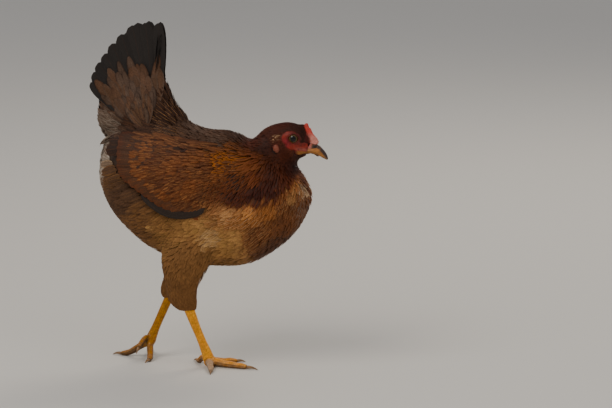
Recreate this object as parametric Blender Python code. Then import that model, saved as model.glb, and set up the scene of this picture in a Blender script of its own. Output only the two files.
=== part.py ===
"""A still, life-size model of a small brown hen in mid-stride.

The hen faces +X, its right side is towards -Y, +Z is up and its soles are at z = 0.
Units are metres. The body is one long loft from the rump to the face, parted by thin
cuts into trunk, neck and head. The wings, tail, legs and head parts are lofts of their
own, each carved back to a thin gap where it meets a neighbour.
"""

import math

import bmesh
import bpy
import numpy as np
from mathutils import Vector

# ---- Driving dimensions ----
GAP = 0.0003                     # space left between neighbouring pieces
BODY_SIDES = 20                  # points round one ring of the body
BODY_STEPS = 2                   # rings from one body station to the next
BILL_SIDES = 10
COMB_SIDES = 8
TAIL_BASE_SIDES = 14
THIGH_SIDES = 12
SHANK_SIDES = 12
TOE_SIDES = 8
CLAW_SIDES = 6
CLAW_RINGS = 5
FINE_STEPS = 2                   # rings from one station to the next where a shape curves most
EYE_SEGMENTS, EYE_RINGS = 12, 8
LOBE_SEGMENTS, LOBE_RINGS = 8, 5
SHARP_ANGLE = 50.0               # degrees between two faces that make a sharp edge
SIDES = {"left": 1.0, "right": -1.0}

EYE_RADIUS = 0.0075
EYE_CENTRE = (0.1118, 0.0088, 0.2818)
EARLOBE_CENTRE = (0.0930, 0.0192, 0.2700)
EARLOBE_RADII = (0.0040, 0.0028, 0.0054)
WATTLE_CENTRE = (0.1225, 0.0062, 0.2580)
WATTLE_RADII = (0.0036, 0.0016, 0.0034)

WING_THICKNESS = 0.0100          # at the shoulder, where the inner side is buried
WING_TIP_THICKNESS = 0.0050
WING_EDGE_DROP = 0.0030          # how far the rim of the wing falls below its face
RIM_SHARPNESS = 4                # how closely that fall keeps to the rim
RIM_INNER_SHARE = 0.6            # how much of it the inner face follows
WING_POINTS = 7                  # points across one face of the wing
WING_CROWN_HEIGHT = 0.2220       # level at which the folded wings are widest
WING_SHELL_HALF_HEIGHT = 0.0860
WING_SHELL_END = 0.98            # share of that half height past which the shell stays as wide
PRIMARY_POINTS = 4
PRIMARY_THICKNESS = 0.0080       # buried on its inner side
PRIMARY_INSET = 0.0006           # the primaries lie this far under the wing's face
PRIMARY_EDGE_DROP = 0.0008

TAIL_ROOT = (-0.0640, 0.2900)    # where the shafts of the tail feathers meet, in x and z
TAIL_FIRST_ANGLE = 79.0          # degrees above +X, foremost feather
TAIL_LAST_ANGLE = 147.0          # lowest and rearmost feather
TAIL_FEATHERS = 7
TAIL_COLUMNS = 4                 # columns of points across one feather
TAIL_ROWS = 4
TAIL_INNER_RADIUS = 0.0150
TAIL_NOTCH = 0.0075              # depth of the step between two feather tips
TAIL_NOTCH_SHARPNESS = 2.5
TAIL_ROOT_THICKNESS = 0.0050
TAIL_TIP_THICKNESS = 0.0014
TAIL_RIDGE = 0.0012              # half the space between the two sides along the ridge
TAIL_SPREAD = 0.0300             # how far the lowest feather leans out from the middle
TAIL_SPREAD_CURVE = 0.8          # how early in the fan the feathers start to lean out
TAIL_SPREAD_AT_ROOT = 0.35       # lean at the root as a share of the lean at the tip

# The station tables have one row for each ring. A ring stands between a point on the back line
# and a point on the belly line, both at y = 0:
# back x, back z, belly x, belly z, half width, level of the widest part (0 to 1), squareness
TRUNK_STATIONS = (
    (-0.1255, 0.2500, -0.1270, 0.2250, 0.0100, 0.50, 2.0),
    (-0.1210, 0.2660, -0.1235, 0.2110, 0.0230, 0.50, 2.0),
    (-0.1115, 0.2820, -0.1170, 0.1960, 0.0340, 0.50, 2.0),
    (-0.0980, 0.2950, -0.1075, 0.1810, 0.0425, 0.50, 2.1),
    (-0.0780, 0.3040, -0.0930, 0.1650, 0.0490, 0.50, 2.1),
    (-0.0510, 0.3060, -0.0700, 0.1460, 0.0535, 0.50, 2.2),
    (-0.0240, 0.2985, -0.0390, 0.1310, 0.0560, 0.50, 2.2),
    (0.0000, 0.2900, -0.0060, 0.1240, 0.0568, 0.50, 2.2),
    (0.0165, 0.2885, 0.0290, 0.1225, 0.0562, 0.51, 2.2),
    (0.0290, 0.2885, 0.0610, 0.1275, 0.0545, 0.52, 2.2),
    (0.0390, 0.2850, 0.0870, 0.1430, 0.0515, 0.53, 2.2),
    (0.0470, 0.2805, 0.1085, 0.1610, 0.0480, 0.54, 2.1),
    (0.0530, 0.2778, 0.1240, 0.1830, 0.0435, 0.55, 2.1),
    (0.0580, 0.2765, 0.1325, 0.2080, 0.0385, 0.56, 2.1),
)
NECK_STATIONS = (
    (0.0608, 0.2785, 0.1268, 0.2260, 0.0310, 0.55, 2.1),
    (0.0650, 0.2835, 0.1146, 0.2440, 0.0228, 0.52, 2.1),
)
HEAD_STATIONS = (
    (0.0775, 0.2933, 0.1152, 0.2525, 0.0182, 0.52, 2.1),
    (0.0885, 0.2975, 0.1166, 0.2545, 0.0169, 0.53, 2.1),
    (0.0990, 0.2997, 0.1182, 0.2560, 0.0161, 0.54, 2.1),
    (0.1090, 0.2996, 0.1200, 0.2572, 0.0153, 0.55, 2.1),
    (0.1175, 0.2965, 0.1218, 0.2581, 0.0139, 0.54, 2.0),
    (0.1235, 0.2910, 0.1235, 0.2588, 0.0120, 0.50, 2.0),
    (0.1280, 0.2840, 0.1248, 0.2593, 0.0100, 0.45, 2.0),
    (0.1308, 0.2765, 0.1256, 0.2596, 0.0084, 0.40, 2.0),
)
UPPER_BILL_STATIONS = (
    (0.1313, 0.2752, 0.1262, 0.2632, 0.0080, 0.34, 2.2),
    (0.1365, 0.2745, 0.1335, 0.2632, 0.0074, 0.32, 2.1),
    (0.1415, 0.2724, 0.1388, 0.2618, 0.0064, 0.32, 2.0),
    (0.1458, 0.2687, 0.1428, 0.2598, 0.0052, 0.34, 2.0),
    (0.1491, 0.2648, 0.1460, 0.2580, 0.0039, 0.38, 2.0),
    (0.1513, 0.2606, 0.1489, 0.2566, 0.0025, 0.45, 2.0),
    (0.1521, 0.2572, 0.1511, 0.2558, 0.0010, 0.50, 2.0),
)
LOWER_BILL_STATIONS = (
    (0.1262, 0.2625, 0.1264, 0.2598, 0.0069, 0.70, 2.2),
    (0.1332, 0.2625, 0.1334, 0.2602, 0.0062, 0.70, 2.2),
    (0.1384, 0.2611, 0.1386, 0.2588, 0.0050, 0.70, 2.0),
    (0.1423, 0.2591, 0.1422, 0.2570, 0.0037, 0.70, 2.0),
    (0.1452, 0.2573, 0.1449, 0.2560, 0.0020, 0.60, 2.0),
)
COMB_STATIONS = (
    (0.1178, 0.2984, 0.1160, 0.2955, 0.0010, 0.50, 2.0),
    (0.1222, 0.2988, 0.1195, 0.2930, 0.0015, 0.45, 2.0),
    (0.1278, 0.2999, 0.1218, 0.2905, 0.0019, 0.40, 2.0),
    (0.1295, 0.2962, 0.1238, 0.2880, 0.0021, 0.40, 2.0),
    (0.1325, 0.2905, 0.1258, 0.2840, 0.0024, 0.40, 2.0),
    (0.1345, 0.2862, 0.1272, 0.2800, 0.0028, 0.42, 2.0),
    (0.1390, 0.2818, 0.1286, 0.2765, 0.0032, 0.45, 2.0),
    (0.1412, 0.2774, 0.1300, 0.2738, 0.0034, 0.50, 2.0),
    (0.1404, 0.2748, 0.1308, 0.2722, 0.0026, 0.50, 2.0),
)
TAIL_BASE_STATIONS = (
    (-0.0200, 0.2880, -0.1160, 0.2700, 0.0280, 0.50, 2.0),
    (-0.0165, 0.3000, -0.1285, 0.2890, 0.0300, 0.50, 2.0),
    (-0.0270, 0.3130, -0.1295, 0.3070, 0.0270, 0.50, 2.0),
    (-0.0350, 0.3260, -0.1270, 0.3260, 0.0225, 0.52, 2.0),
    (-0.0420, 0.3420, -0.1200, 0.3450, 0.0165, 0.55, 2.0),
    (-0.0500, 0.3600, -0.1080, 0.3600, 0.0110, 0.60, 2.0),
    (-0.0650, 0.3720, -0.0900, 0.3700, 0.0060, 0.60, 2.0),
)
# Folded wing, from the shoulder to the tip: upper edge x and z, lower edge x and z
WING_STATIONS = (
    (0.0440, 0.2540, 0.0435, 0.2400),
    (0.0360, 0.2660, 0.0350, 0.2220),
    (0.0200, 0.2750, 0.0180, 0.2070),
    (0.0000, 0.2805, -0.0030, 0.1990),
    (-0.0220, 0.2850, -0.0270, 0.1965),
    (-0.0450, 0.2885, -0.0500, 0.2040),
    (-0.0680, 0.2895, -0.0720, 0.2175),
    (-0.0880, 0.2885, -0.0915, 0.2310),
    (-0.1050, 0.2840, -0.1065, 0.2420),
    (-0.1200, 0.2730, -0.1195, 0.2530),
)
PRIMARY_STATIONS = (
    (0.0110, 0.2060, 0.0110, 0.1960),
    (-0.0060, 0.2025, -0.0060, 0.1885),
    (-0.0230, 0.2010, -0.0240, 0.1840),
    (-0.0430, 0.2050, -0.0450, 0.1920),
    (-0.0630, 0.2165, -0.0660, 0.2070),
    (-0.0820, 0.2290, -0.0840, 0.2210),
    (-0.0980, 0.2400, -0.0990, 0.2340),
)
# Half width of the folded wings at places along the body
WING_SHELL_X = (-0.1200, -0.0900, -0.0600, -0.0200, 0.0200, 0.0450)
WING_SHELL_HALF_WIDTH = (0.0430, 0.0545, 0.0620, 0.0650, 0.0605, 0.0520)
# Length of the tail feathers by their angle above +X
TAIL_ANGLES = (79.0, 88.0, 99.0, 116.0, 127.0, 139.0, 147.0)
TAIL_LENGTHS = (0.1170, 0.1300, 0.1200, 0.1075, 0.0990, 0.0895, 0.0820)

# Feathered thighs: centre x, y and z, then half length fore and aft and half width
THIGH_STATIONS = {
    "right": (
        (-0.0080, -0.0260, 0.1850, 0.0280, 0.0180),
        (-0.0110, -0.0335, 0.1500, 0.0340, 0.0205),
        (-0.0155, -0.0335, 0.1240, 0.0285, 0.0185),
        (-0.0195, -0.0300, 0.1060, 0.0218, 0.0152),
        (-0.0222, -0.0265, 0.0910, 0.0182, 0.0126),
        (-0.0228, -0.0240, 0.0800, 0.0160, 0.0106),
        (-0.0215, -0.0220, 0.0715, 0.0120, 0.0088),
        (-0.0190, -0.0208, 0.0655, 0.0072, 0.0068),
    ),
    "left": (
        (-0.0150, 0.0260, 0.1850, 0.0280, 0.0180),
        (-0.0210, 0.0335, 0.1500, 0.0330, 0.0205),
        (-0.0310, 0.0345, 0.1240, 0.0260, 0.0185),
        (-0.0380, 0.0320, 0.1080, 0.0195, 0.0150),
        (-0.0440, 0.0290, 0.0950, 0.0155, 0.0120),
        (-0.0490, 0.0270, 0.0850, 0.0128, 0.0100),
        (-0.0515, 0.0258, 0.0765, 0.0096, 0.0082),
        (-0.0520, 0.0252, 0.0710, 0.0064, 0.0066),
    ),
}
# Bare shanks from the hock to the ball of the foot: centre x, y, z, then the radius. The last
# ring of the right one lies below z = 0, so that it is laid flat there as the sole.
SHANK_STATIONS = {
    "right": (
        (-0.0175, -0.0212, 0.0800, 0.0052),
        (-0.0150, -0.0204, 0.0725, 0.0066),
        (-0.0120, -0.0192, 0.0640, 0.0065),
        (-0.0080, -0.0170, 0.0530, 0.0054),
        (-0.0038, -0.0145, 0.0410, 0.0050),
        (0.0004, -0.0120, 0.0290, 0.0052),
        (0.0040, -0.0098, 0.0185, 0.0061),
        (0.0068, -0.0082, 0.0095, 0.0072),
        (0.0078, -0.0078, 0.0040, 0.0068),
        (0.0082, -0.0076, -0.0012, 0.0048),
    ),
    "left": (
        (-0.0478, 0.0262, 0.0850, 0.0052),
        (-0.0500, 0.0256, 0.0785, 0.0064),
        (-0.0528, 0.0250, 0.0710, 0.0062),
        (-0.0575, 0.0243, 0.0600, 0.0052),
        (-0.0625, 0.0235, 0.0485, 0.0049),
        (-0.0670, 0.0228, 0.0380, 0.0051),
        (-0.0708, 0.0223, 0.0290, 0.0060),
        (-0.0738, 0.0220, 0.0215, 0.0070),
        (-0.0755, 0.0218, 0.0165, 0.0058),
    ),
}
# Toes from the ball of the foot outwards: centre x, y, z, then the radius. The claw goes on
# from the last point to the claw tip.
TOES = {
    "right": {
        "middle": (
            (0.0080, -0.0085, 0.0072, 0.0056),
            (0.0200, -0.0102, 0.0052, 0.0049),
            (0.0275, -0.0113, 0.0042, 0.0042),
            (0.0345, -0.0124, 0.0040, 0.0045),
            (0.0430, -0.0137, 0.0033, 0.0037),
            (0.0490, -0.0146, 0.0033, 0.0039),
            (0.0555, -0.0156, 0.0025, 0.0029),
        ),
        "inner": (
            (0.0085, -0.0070, 0.0070, 0.0052),
            (0.0175, 0.0002, 0.0048, 0.0045),
            (0.0235, 0.0049, 0.0038, 0.0039),
            (0.0295, 0.0096, 0.0036, 0.0041),
            (0.0360, 0.0147, 0.0025, 0.0028),
        ),
        "outer": (
            (0.0078, -0.0100, 0.0068, 0.0050),
            (0.0112, -0.0200, 0.0044, 0.0043),
            (0.0132, -0.0262, 0.0036, 0.0037),
            (0.0152, -0.0322, 0.0035, 0.0040),
            (0.0168, -0.0385, 0.0029, 0.0033),
            (0.0180, -0.0440, 0.0023, 0.0026),
        ),
        "hind": (
            (0.0020, -0.0050, 0.0110, 0.0042),
            (-0.0035, 0.0010, 0.0078, 0.0038),
            (-0.0080, 0.0062, 0.0032, 0.0036),
            (-0.0115, 0.0104, 0.0023, 0.0026),
        ),
    },
    "left": {
        "middle": (
            (-0.0765, 0.0222, 0.0200, 0.0054),
            (-0.0835, 0.0232, 0.0160, 0.0048),
            (-0.0895, 0.0242, 0.0120, 0.0041),
            (-0.0945, 0.0250, 0.0084, 0.0043),
            (-0.1000, 0.0260, 0.0052, 0.0037),
            (-0.1055, 0.0270, 0.0033, 0.0038),
            (-0.1115, 0.0281, 0.0024, 0.0028),
        ),
        "inner": (
            (-0.0735, 0.0195, 0.0180, 0.0049),
            (-0.0715, 0.0125, 0.0125, 0.0043),
            (-0.0702, 0.0080, 0.0085, 0.0038),
            (-0.0695, 0.0038, 0.0034, 0.0039),
            (-0.0695, -0.0005, 0.0025, 0.0029),
        ),
        "outer": (
            (-0.0755, 0.0250, 0.0178, 0.0048),
            (-0.0772, 0.0330, 0.0130, 0.0042),
            (-0.0785, 0.0390, 0.0088, 0.0037),
            (-0.0796, 0.0440, 0.0052, 0.0038),
            (-0.0806, 0.0500, 0.0028, 0.0032),
            (-0.0814, 0.0550, 0.0022, 0.0026),
        ),
        "hind": (
            (-0.0762, 0.0180, 0.0270, 0.0040),
            (-0.0795, 0.0132, 0.0240, 0.0036),
            (-0.0820, 0.0090, 0.0198, 0.0035),
            (-0.0838, 0.0056, 0.0158, 0.0026),
        ),
    },
}
CLAW_TIPS = {
    "right": {
        "middle": (0.0700, -0.0180, 0.0004),
        "inner": (0.0455, 0.0222, 0.0004),
        "outer": (0.0200, -0.0545, 0.0004),
        "hind": (-0.0180, 0.0182, 0.0004),
    },
    "left": {
        "middle": (-0.1235, 0.0303, 0.0004),
        "inner": (-0.0722, -0.0090, 0.0004),
        "outer": (-0.0828, 0.0640, 0.0004),
        "hind": (-0.0856, 0.0000, 0.0090),
    },
}
CLAW_ARCH = 0.0012               # rise of the claw's middle above a straight line
CLAW_TIP_RADIUS = 0.0005
CLAW_TAPER = 1.2
CLAW_BASE_SHARE = 0.80           # claw base against the toe end

COLOURS = {
    "feather_dark": ((0.055, 0.028, 0.018), 0.70),
    "feather_brown": ((0.180, 0.075, 0.030), 0.65),
    "feather_rufous": ((0.290, 0.110, 0.035), 0.60),
    "feather_black": ((0.018, 0.016, 0.018), 0.45),
    "feather_tan": ((0.330, 0.190, 0.095), 0.70),
    "skin_red": ((0.420, 0.060, 0.050), 0.55),
    "skin_pale": ((0.620, 0.360, 0.300), 0.60),
    "horn_bill": ((0.360, 0.230, 0.080), 0.40),
    "scale_yellow": ((0.560, 0.330, 0.060), 0.45),
    "horn_claw": ((0.280, 0.220, 0.160), 0.50),
    "eye_amber": ((0.190, 0.100, 0.030), 0.08),
}


# ---- Tools ----
def clear_scene():
    for thing in list(bpy.data.objects):
        bpy.data.objects.remove(thing, do_unlink=True)


def make_materials():
    made = {}
    for name, (colour, roughness) in COLOURS.items():
        material = bpy.data.materials.new(name)
        material.use_nodes = True
        shader = material.node_tree.nodes["Principled BSDF"]
        shader.inputs["Base Color"].default_value = (*colour, 1.0)
        shader.inputs["Roughness"].default_value = roughness
        shader.inputs["Metallic"].default_value = 0.0
        made[name] = material
    return made


def smooth_rows(rows, steps):
    """Rows of a table with steps - 1 rows added between neighbours, on a Catmull-Rom curve."""
    rows = np.array(rows, float)
    ends = np.vstack([2 * rows[0] - rows[1], rows, 2 * rows[-1] - rows[-2]])
    found = []
    for first in range(len(rows) - 1):
        a, b, c, d = ends[first:first + 4]
        for step in range(steps):
            t = step / steps
            found.append(0.5 * (2 * b + (c - a) * t + (2 * a - 5 * b + 4 * c - d) * t ** 2
                                + (3 * b - a - 3 * c + d) * t ** 3))
    found.append(rows[-1])
    return np.array(found)


def station_ring(row, sides):
    """A closed ring of points between the back point and the belly point of one station."""
    back_x, back_z, belly_x, belly_z, half_width, widest, squareness = row
    back = np.array([back_x, 0.0, back_z])
    belly = np.array([belly_x, 0.0, belly_z])
    points = []
    for side in range(sides):
        angle = 2 * math.pi * side / sides
        across = math.copysign(abs(math.cos(angle)) ** (2 / squareness), math.cos(angle))
        along = math.copysign(abs(math.sin(angle)) ** (2 / squareness), math.sin(angle))
        level = widest + along * ((1 - widest) if along > 0 else widest)
        points.append(belly + (back - belly) * level + np.array([0.0, half_width * across, 0.0]))
    return np.array(points)


def round_ring(centre, direction, radius, sides):
    """A circle of points round a centre, square to a direction, with a level side underneath."""
    forward = Vector(direction).normalized()
    level = Vector((0.0, 0.0, 1.0)).cross(forward)
    if level.length < 1e-6:
        level = Vector((0.0, 1.0, 0.0))
    level.normalize()
    upward = forward.cross(level)
    points = []
    for side in range(sides):
        angle = 2 * math.pi * (side + 0.5) / sides
        offset = (level * math.cos(angle) + upward * math.sin(angle)) * radius
        points.append(np.array(Vector(centre) + offset))
    return np.array(points)


def solid(name, rings, material, parent):
    """A closed mesh object through rings with equal numbers of points, capped at both ends."""
    mesh = bpy.data.meshes.new(name)
    shape = bmesh.new()
    loops = [[shape.verts.new(point) for point in ring] for ring in rings]
    count = len(loops[0])
    for near, far in zip(loops, loops[1:]):
        for side in range(count):
            after = (side + 1) % count
            shape.faces.new((near[side], near[after], far[after], far[side]))
    shape.faces.new(list(reversed(loops[0])))
    shape.faces.new(loops[-1])
    if shape.calc_volume(signed=True) < 0:
        bmesh.ops.reverse_faces(shape, faces=shape.faces)
    shape.to_mesh(mesh)
    shape.free()
    return placed(name, mesh, material, parent)


def placed(name, mesh, material, parent):
    mesh.shade_smooth()
    mesh.set_sharp_from_angle(angle=math.radians(SHARP_ANGLE))
    thing = bpy.data.objects.new(name, mesh)
    bpy.context.scene.collection.objects.link(thing)
    mesh.materials.append(material)
    thing.parent = parent
    return thing


def grown_copy(thing):
    """A hidden copy of an object's shape, larger by the gap on every side, to cut with."""
    mesh = thing.data.copy()
    mesh.name = thing.name + "_cutter"
    normals = [vertex.normal.copy() for vertex in mesh.vertices]
    for vertex, normal in zip(mesh.vertices, normals):
        vertex.co += normal * GAP
    cutter = bpy.data.objects.new(thing.name + "_cutter", mesh)
    bpy.context.scene.collection.objects.link(cutter)
    cutter.parent = thing.parent
    cutter.hide_render = True
    cutter.display_type = "WIRE"
    return cutter


def carve(thing, *cutters, solver="EXACT"):
    """Cuts grown copies of its neighbours out of a thing. MANIFOLD is for the small or slanting
    cuts where EXACT doesn't give the same triangles each time."""
    for cutter in cutters:
        modifier = thing.modifiers.new("carve_" + cutter.name, "BOOLEAN")
        modifier.operation = "DIFFERENCE"
        modifier.solver = solver
        modifier.object = cutter


def mirrored(rings):
    return [ring * np.array([1.0, -1.0, 1.0]) for ring in rings]


def moved_end(ring, towards):
    """A ring moved by the gap towards the centre of another ring."""
    step = towards.mean(axis=0) - ring.mean(axis=0)
    return ring + GAP * step / np.linalg.norm(step)


# ---- Trunk, neck and head ----
def make_body(materials, parent):
    rows = smooth_rows(TRUNK_STATIONS + NECK_STATIONS + HEAD_STATIONS, BODY_STEPS)
    rings = [station_ring(row, BODY_SIDES) for row in rows]
    neck_start = BODY_STEPS * (len(TRUNK_STATIONS) - 1)
    head_start = BODY_STEPS * (len(TRUNK_STATIONS) + len(NECK_STATIONS) - 1)
    neck = rings[neck_start:head_start + 1]
    neck[0] = moved_end(neck[0], neck[1])
    head = rings[head_start:]
    head[0] = moved_end(head[0], head[1])
    return {
        "trunk": solid("trunk", rings[:neck_start + 1], materials["feather_brown"], parent),
        "neck": solid("neck", neck, materials["feather_dark"], parent),
        "head": solid("head", head, materials["feather_dark"], parent),
    }


def ellipsoid(name, centre, radii, segments, rings, material, parent):
    mesh = bpy.data.meshes.new(name)
    shape = bmesh.new()
    bmesh.ops.create_uvsphere(shape, u_segments=segments, v_segments=rings, radius=1.0)
    for vertex in shape.verts:
        vertex.co = Vector(centre) + Vector(c * r for c, r in zip(vertex.co, radii))
    shape.to_mesh(mesh)
    shape.free()
    return placed(name, mesh, material, parent)


def loft_from_table(name, stations, sides, steps, material, parent):
    rings = [station_ring(row, sides) for row in smooth_rows(stations, steps)]
    return solid(name, rings, material, parent)


def make_face(body, materials, parent):
    upper = loft_from_table("bill_upper", UPPER_BILL_STATIONS, BILL_SIDES, FINE_STEPS,
                            materials["horn_bill"], parent)
    lower = loft_from_table("bill_lower", LOWER_BILL_STATIONS, BILL_SIDES, 1,
                            materials["horn_bill"], parent)
    comb = loft_from_table("comb", COMB_STATIONS, COMB_SIDES, 1, materials["skin_red"], parent)
    head_cutter = grown_copy(body["head"])
    upper_cutter = grown_copy(upper)
    carve(upper, head_cutter)
    carve(lower, head_cutter, upper_cutter)
    carve(comb, head_cutter, upper_cutter)
    lower_cutter = grown_copy(lower)
    for side, sign in SIDES.items():
        eye_at = [EYE_CENTRE[0], sign * EYE_CENTRE[1], EYE_CENTRE[2]]
        eye = ellipsoid("eye_" + side, eye_at, [EYE_RADIUS] * 3, EYE_SEGMENTS, EYE_RINGS,
                        materials["eye_amber"], parent)
        carve(body["head"], grown_copy(eye))
        lobe_at = [EARLOBE_CENTRE[0], sign * EARLOBE_CENTRE[1], EARLOBE_CENTRE[2]]
        lobe = ellipsoid("earlobe_" + side, lobe_at, EARLOBE_RADII, LOBE_SEGMENTS, LOBE_RINGS,
                         materials["skin_pale"], parent)
        carve(lobe, head_cutter, solver="MANIFOLD")
        wattle_at = [WATTLE_CENTRE[0], sign * WATTLE_CENTRE[1], WATTLE_CENTRE[2]]
        wattle = ellipsoid("wattle_" + side, wattle_at, WATTLE_RADII, LOBE_SEGMENTS, LOBE_RINGS,
                           materials["skin_red"], parent)
        carve(wattle, head_cutter, lower_cutter, upper_cutter, solver="MANIFOLD")


# ---- Wings ----
def wing_shell(x, z):
    """Half width of the surface that the folded wings lie on, at a place seen from the side."""
    half_width = np.interp(x, WING_SHELL_X, WING_SHELL_HALF_WIDTH)
    level = min(abs(z - WING_CROWN_HEIGHT) / WING_SHELL_HALF_HEIGHT, WING_SHELL_END)
    return half_width * math.sqrt(1 - level ** 2)


def wing_ring(row, thickness, inset, edge_drop, points):
    """A ring round the wing from one station's lower edge to its upper edge and back inside."""
    upper_x, upper_z, lower_x, lower_z = row
    outer = []
    inner = []
    for share in np.linspace(0.0, 1.0, points):
        x = lower_x + (upper_x - lower_x) * share
        z = lower_z + (upper_z - lower_z) * share
        rim = edge_drop * abs(2 * share - 1) ** RIM_SHARPNESS
        y = wing_shell(x, z) - inset - rim
        outer.append((x, y, z))
        inner.append((x, y + rim * RIM_INNER_SHARE - thickness, z))
    return np.array(outer + inner[::-1])


def slab_rings(rows, thick, thin, inset, edge_drop, points):
    thicknesses = np.linspace(thick, thin, len(rows))
    return [wing_ring(row, thickness, inset, edge_drop, points)
            for row, thickness in zip(rows, thicknesses)]


def make_wings(trunk_cutter, tail_cutter, materials, parent):
    wing = slab_rings(smooth_rows(WING_STATIONS, FINE_STEPS), WING_THICKNESS, WING_TIP_THICKNESS,
                      0.0, WING_EDGE_DROP, WING_POINTS)
    primaries = slab_rings(PRIMARY_STATIONS, PRIMARY_THICKNESS, PRIMARY_THICKNESS, PRIMARY_INSET,
                           PRIMARY_EDGE_DROP, PRIMARY_POINTS)
    for side, sign in SIDES.items():
        turned = wing if sign > 0 else mirrored(wing)
        wing_solid = solid("wing_" + side, turned, materials["feather_rufous"], parent)
        wing_cutter = grown_copy(wing_solid)
        carve(wing_solid, trunk_cutter, tail_cutter, solver="MANIFOLD")
        turned = primaries if sign > 0 else mirrored(primaries)
        tips = solid("primaries_" + side, turned, materials["feather_black"], parent)
        carve(tips, trunk_cutter, wing_cutter)


# ---- Tail ----
def tail_point(angle, share, column_share, sign):
    """A point on one side of the tented tail, by its angle, its share of the feather's length and
    its share across the feather."""
    notch = TAIL_NOTCH * abs(2 * column_share - 1) ** TAIL_NOTCH_SHARPNESS
    length = np.interp(angle, TAIL_ANGLES, TAIL_LENGTHS) - notch
    radius = TAIL_INNER_RADIUS + (length - TAIL_INNER_RADIUS) * share
    turn = math.radians(angle)
    lean = (angle - TAIL_FIRST_ANGLE) / (TAIL_LAST_ANGLE - TAIL_FIRST_ANGLE)
    x = TAIL_ROOT[0] + radius * math.cos(turn)
    opened = TAIL_SPREAD_AT_ROOT + (1 - TAIL_SPREAD_AT_ROOT) * share
    y = TAIL_RIDGE + TAIL_SPREAD * lean ** TAIL_SPREAD_CURVE * opened
    z = TAIL_ROOT[1] + radius * math.sin(turn)
    return np.array([x, sign * y, z])


def tail_rings(sign):
    """Rings across one half of the tail, from its foremost feather to its rearmost."""
    columns = TAIL_FEATHERS * TAIL_COLUMNS
    angles = np.linspace(TAIL_FIRST_ANGLE, TAIL_LAST_ANGLE, columns + 1)
    rings = []
    for number, angle in enumerate(angles):
        column_share = (number % TAIL_COLUMNS) / TAIL_COLUMNS
        outer = []
        inner = []
        for row in range(TAIL_ROWS):
            share = row / (TAIL_ROWS - 1)
            point = tail_point(angle, share, column_share, sign)
            thickness = TAIL_ROOT_THICKNESS * (1 - share) + TAIL_TIP_THICKNESS * share
            outer.append(point + np.array([0.0, sign * thickness, 0.0]))
            inner.append(point)
        rings.append(np.array(outer + inner[::-1]))
    return rings


def make_tail(trunk_cutter, materials, parent):
    base = loft_from_table("tail_base", TAIL_BASE_STATIONS, TAIL_BASE_SIDES, FINE_STEPS,
                           materials["feather_dark"], parent)
    base_cutter = grown_copy(base)
    carve(base, trunk_cutter)
    for side, sign in SIDES.items():
        half = solid("tail_" + side, tail_rings(sign), materials["feather_black"], parent)
        carve(half, trunk_cutter, base_cutter)
    return base_cutter


# ---- Legs and feet ----
def limb_rings(stations, sides, steps):
    """Rings square to a limb's own line, laid flat at z = 0 where they would go below it."""
    rows = smooth_rows(stations, steps)
    rings = []
    for number, row in enumerate(rows):
        before = rows[max(number - 1, 0)][:3]
        after = rows[min(number + 1, len(rows) - 1)][:3]
        ring = round_ring(row[:3], after - before, row[3], sides)
        ring[:, 2] = np.maximum(ring[:, 2], 0.0)
        rings.append(ring)
    return rings


def thigh_rings(stations):
    """Level oval rings down a feathered thigh."""
    rings = []
    for x, y, z, half_length, half_width in smooth_rows(stations, FINE_STEPS):
        turns = np.arange(THIGH_SIDES) * 2 * math.pi / THIGH_SIDES
        rings.append(np.stack([x + half_length * np.cos(turns), y + half_width * np.sin(turns),
                               np.full(THIGH_SIDES, z)], axis=1))
    return rings


def claw_rings(toe, tip):
    """A curved claw that goes on from the last ring of a toe."""
    end = np.array(toe[-1][:3])
    forward = end - np.array(toe[-2][:3])
    start = end + GAP * forward / np.linalg.norm(forward)
    tip = np.array(tip)
    base_radius = toe[-1][3] * CLAW_BASE_SHARE
    stations = []
    for share in np.linspace(0.0, 1.0, CLAW_RINGS):
        centre = start + (tip - start) * share
        centre[2] += CLAW_ARCH * math.sin(math.pi * share)
        radius = base_radius + (CLAW_TIP_RADIUS - base_radius) * share ** CLAW_TAPER
        stations.append((*centre, radius))
    rings = limb_rings(stations, CLAW_SIDES, 1)
    first = round_ring(start, forward, base_radius, CLAW_SIDES)
    first[:, 2] = np.maximum(first[:, 2], 0.0)
    rings[0] = first
    return rings


def make_leg(side, trunk_cutter, materials, parent):
    thigh = solid("thigh_" + side, thigh_rings(THIGH_STATIONS[side]), materials["feather_tan"],
                  parent)
    thigh_cutter = grown_copy(thigh)
    carve(thigh, trunk_cutter)
    shank = solid("shank_" + side, limb_rings(SHANK_STATIONS[side], SHANK_SIDES, 1),
                  materials["scale_yellow"], parent)
    shank_cutter = grown_copy(shank)
    carve(shank, thigh_cutter)
    earlier = [shank_cutter]
    for toe_name, stations in TOES[side].items():
        toe = solid(f"toe_{toe_name}_{side}", limb_rings(stations, TOE_SIDES, 1),
                    materials["scale_yellow"], parent)
        cutter = grown_copy(toe)
        carve(toe, *earlier)
        earlier.append(cutter)
        solid(f"claw_{toe_name}_{side}", claw_rings(stations, CLAW_TIPS[side][toe_name]),
              materials["horn_claw"], parent)


def centre_on_floor(parent):
    """Moves the parent empty so that the whole hen's box is centred on x = 0 and y = 0."""
    bpy.context.view_layer.update()
    graph = bpy.context.evaluated_depsgraph_get()
    corners = []
    for thing in bpy.data.objects:
        if thing.type == "MESH" and not thing.hide_render:
            evaluated = thing.evaluated_get(graph)
            corners += [evaluated.matrix_world @ Vector(corner) for corner in evaluated.bound_box]
    corners = np.array(corners)
    middle = (corners.min(axis=0) + corners.max(axis=0)) / 2
    parent.location = (-middle[0], -middle[1], 0.0)
    bpy.context.view_layer.update()


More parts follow.
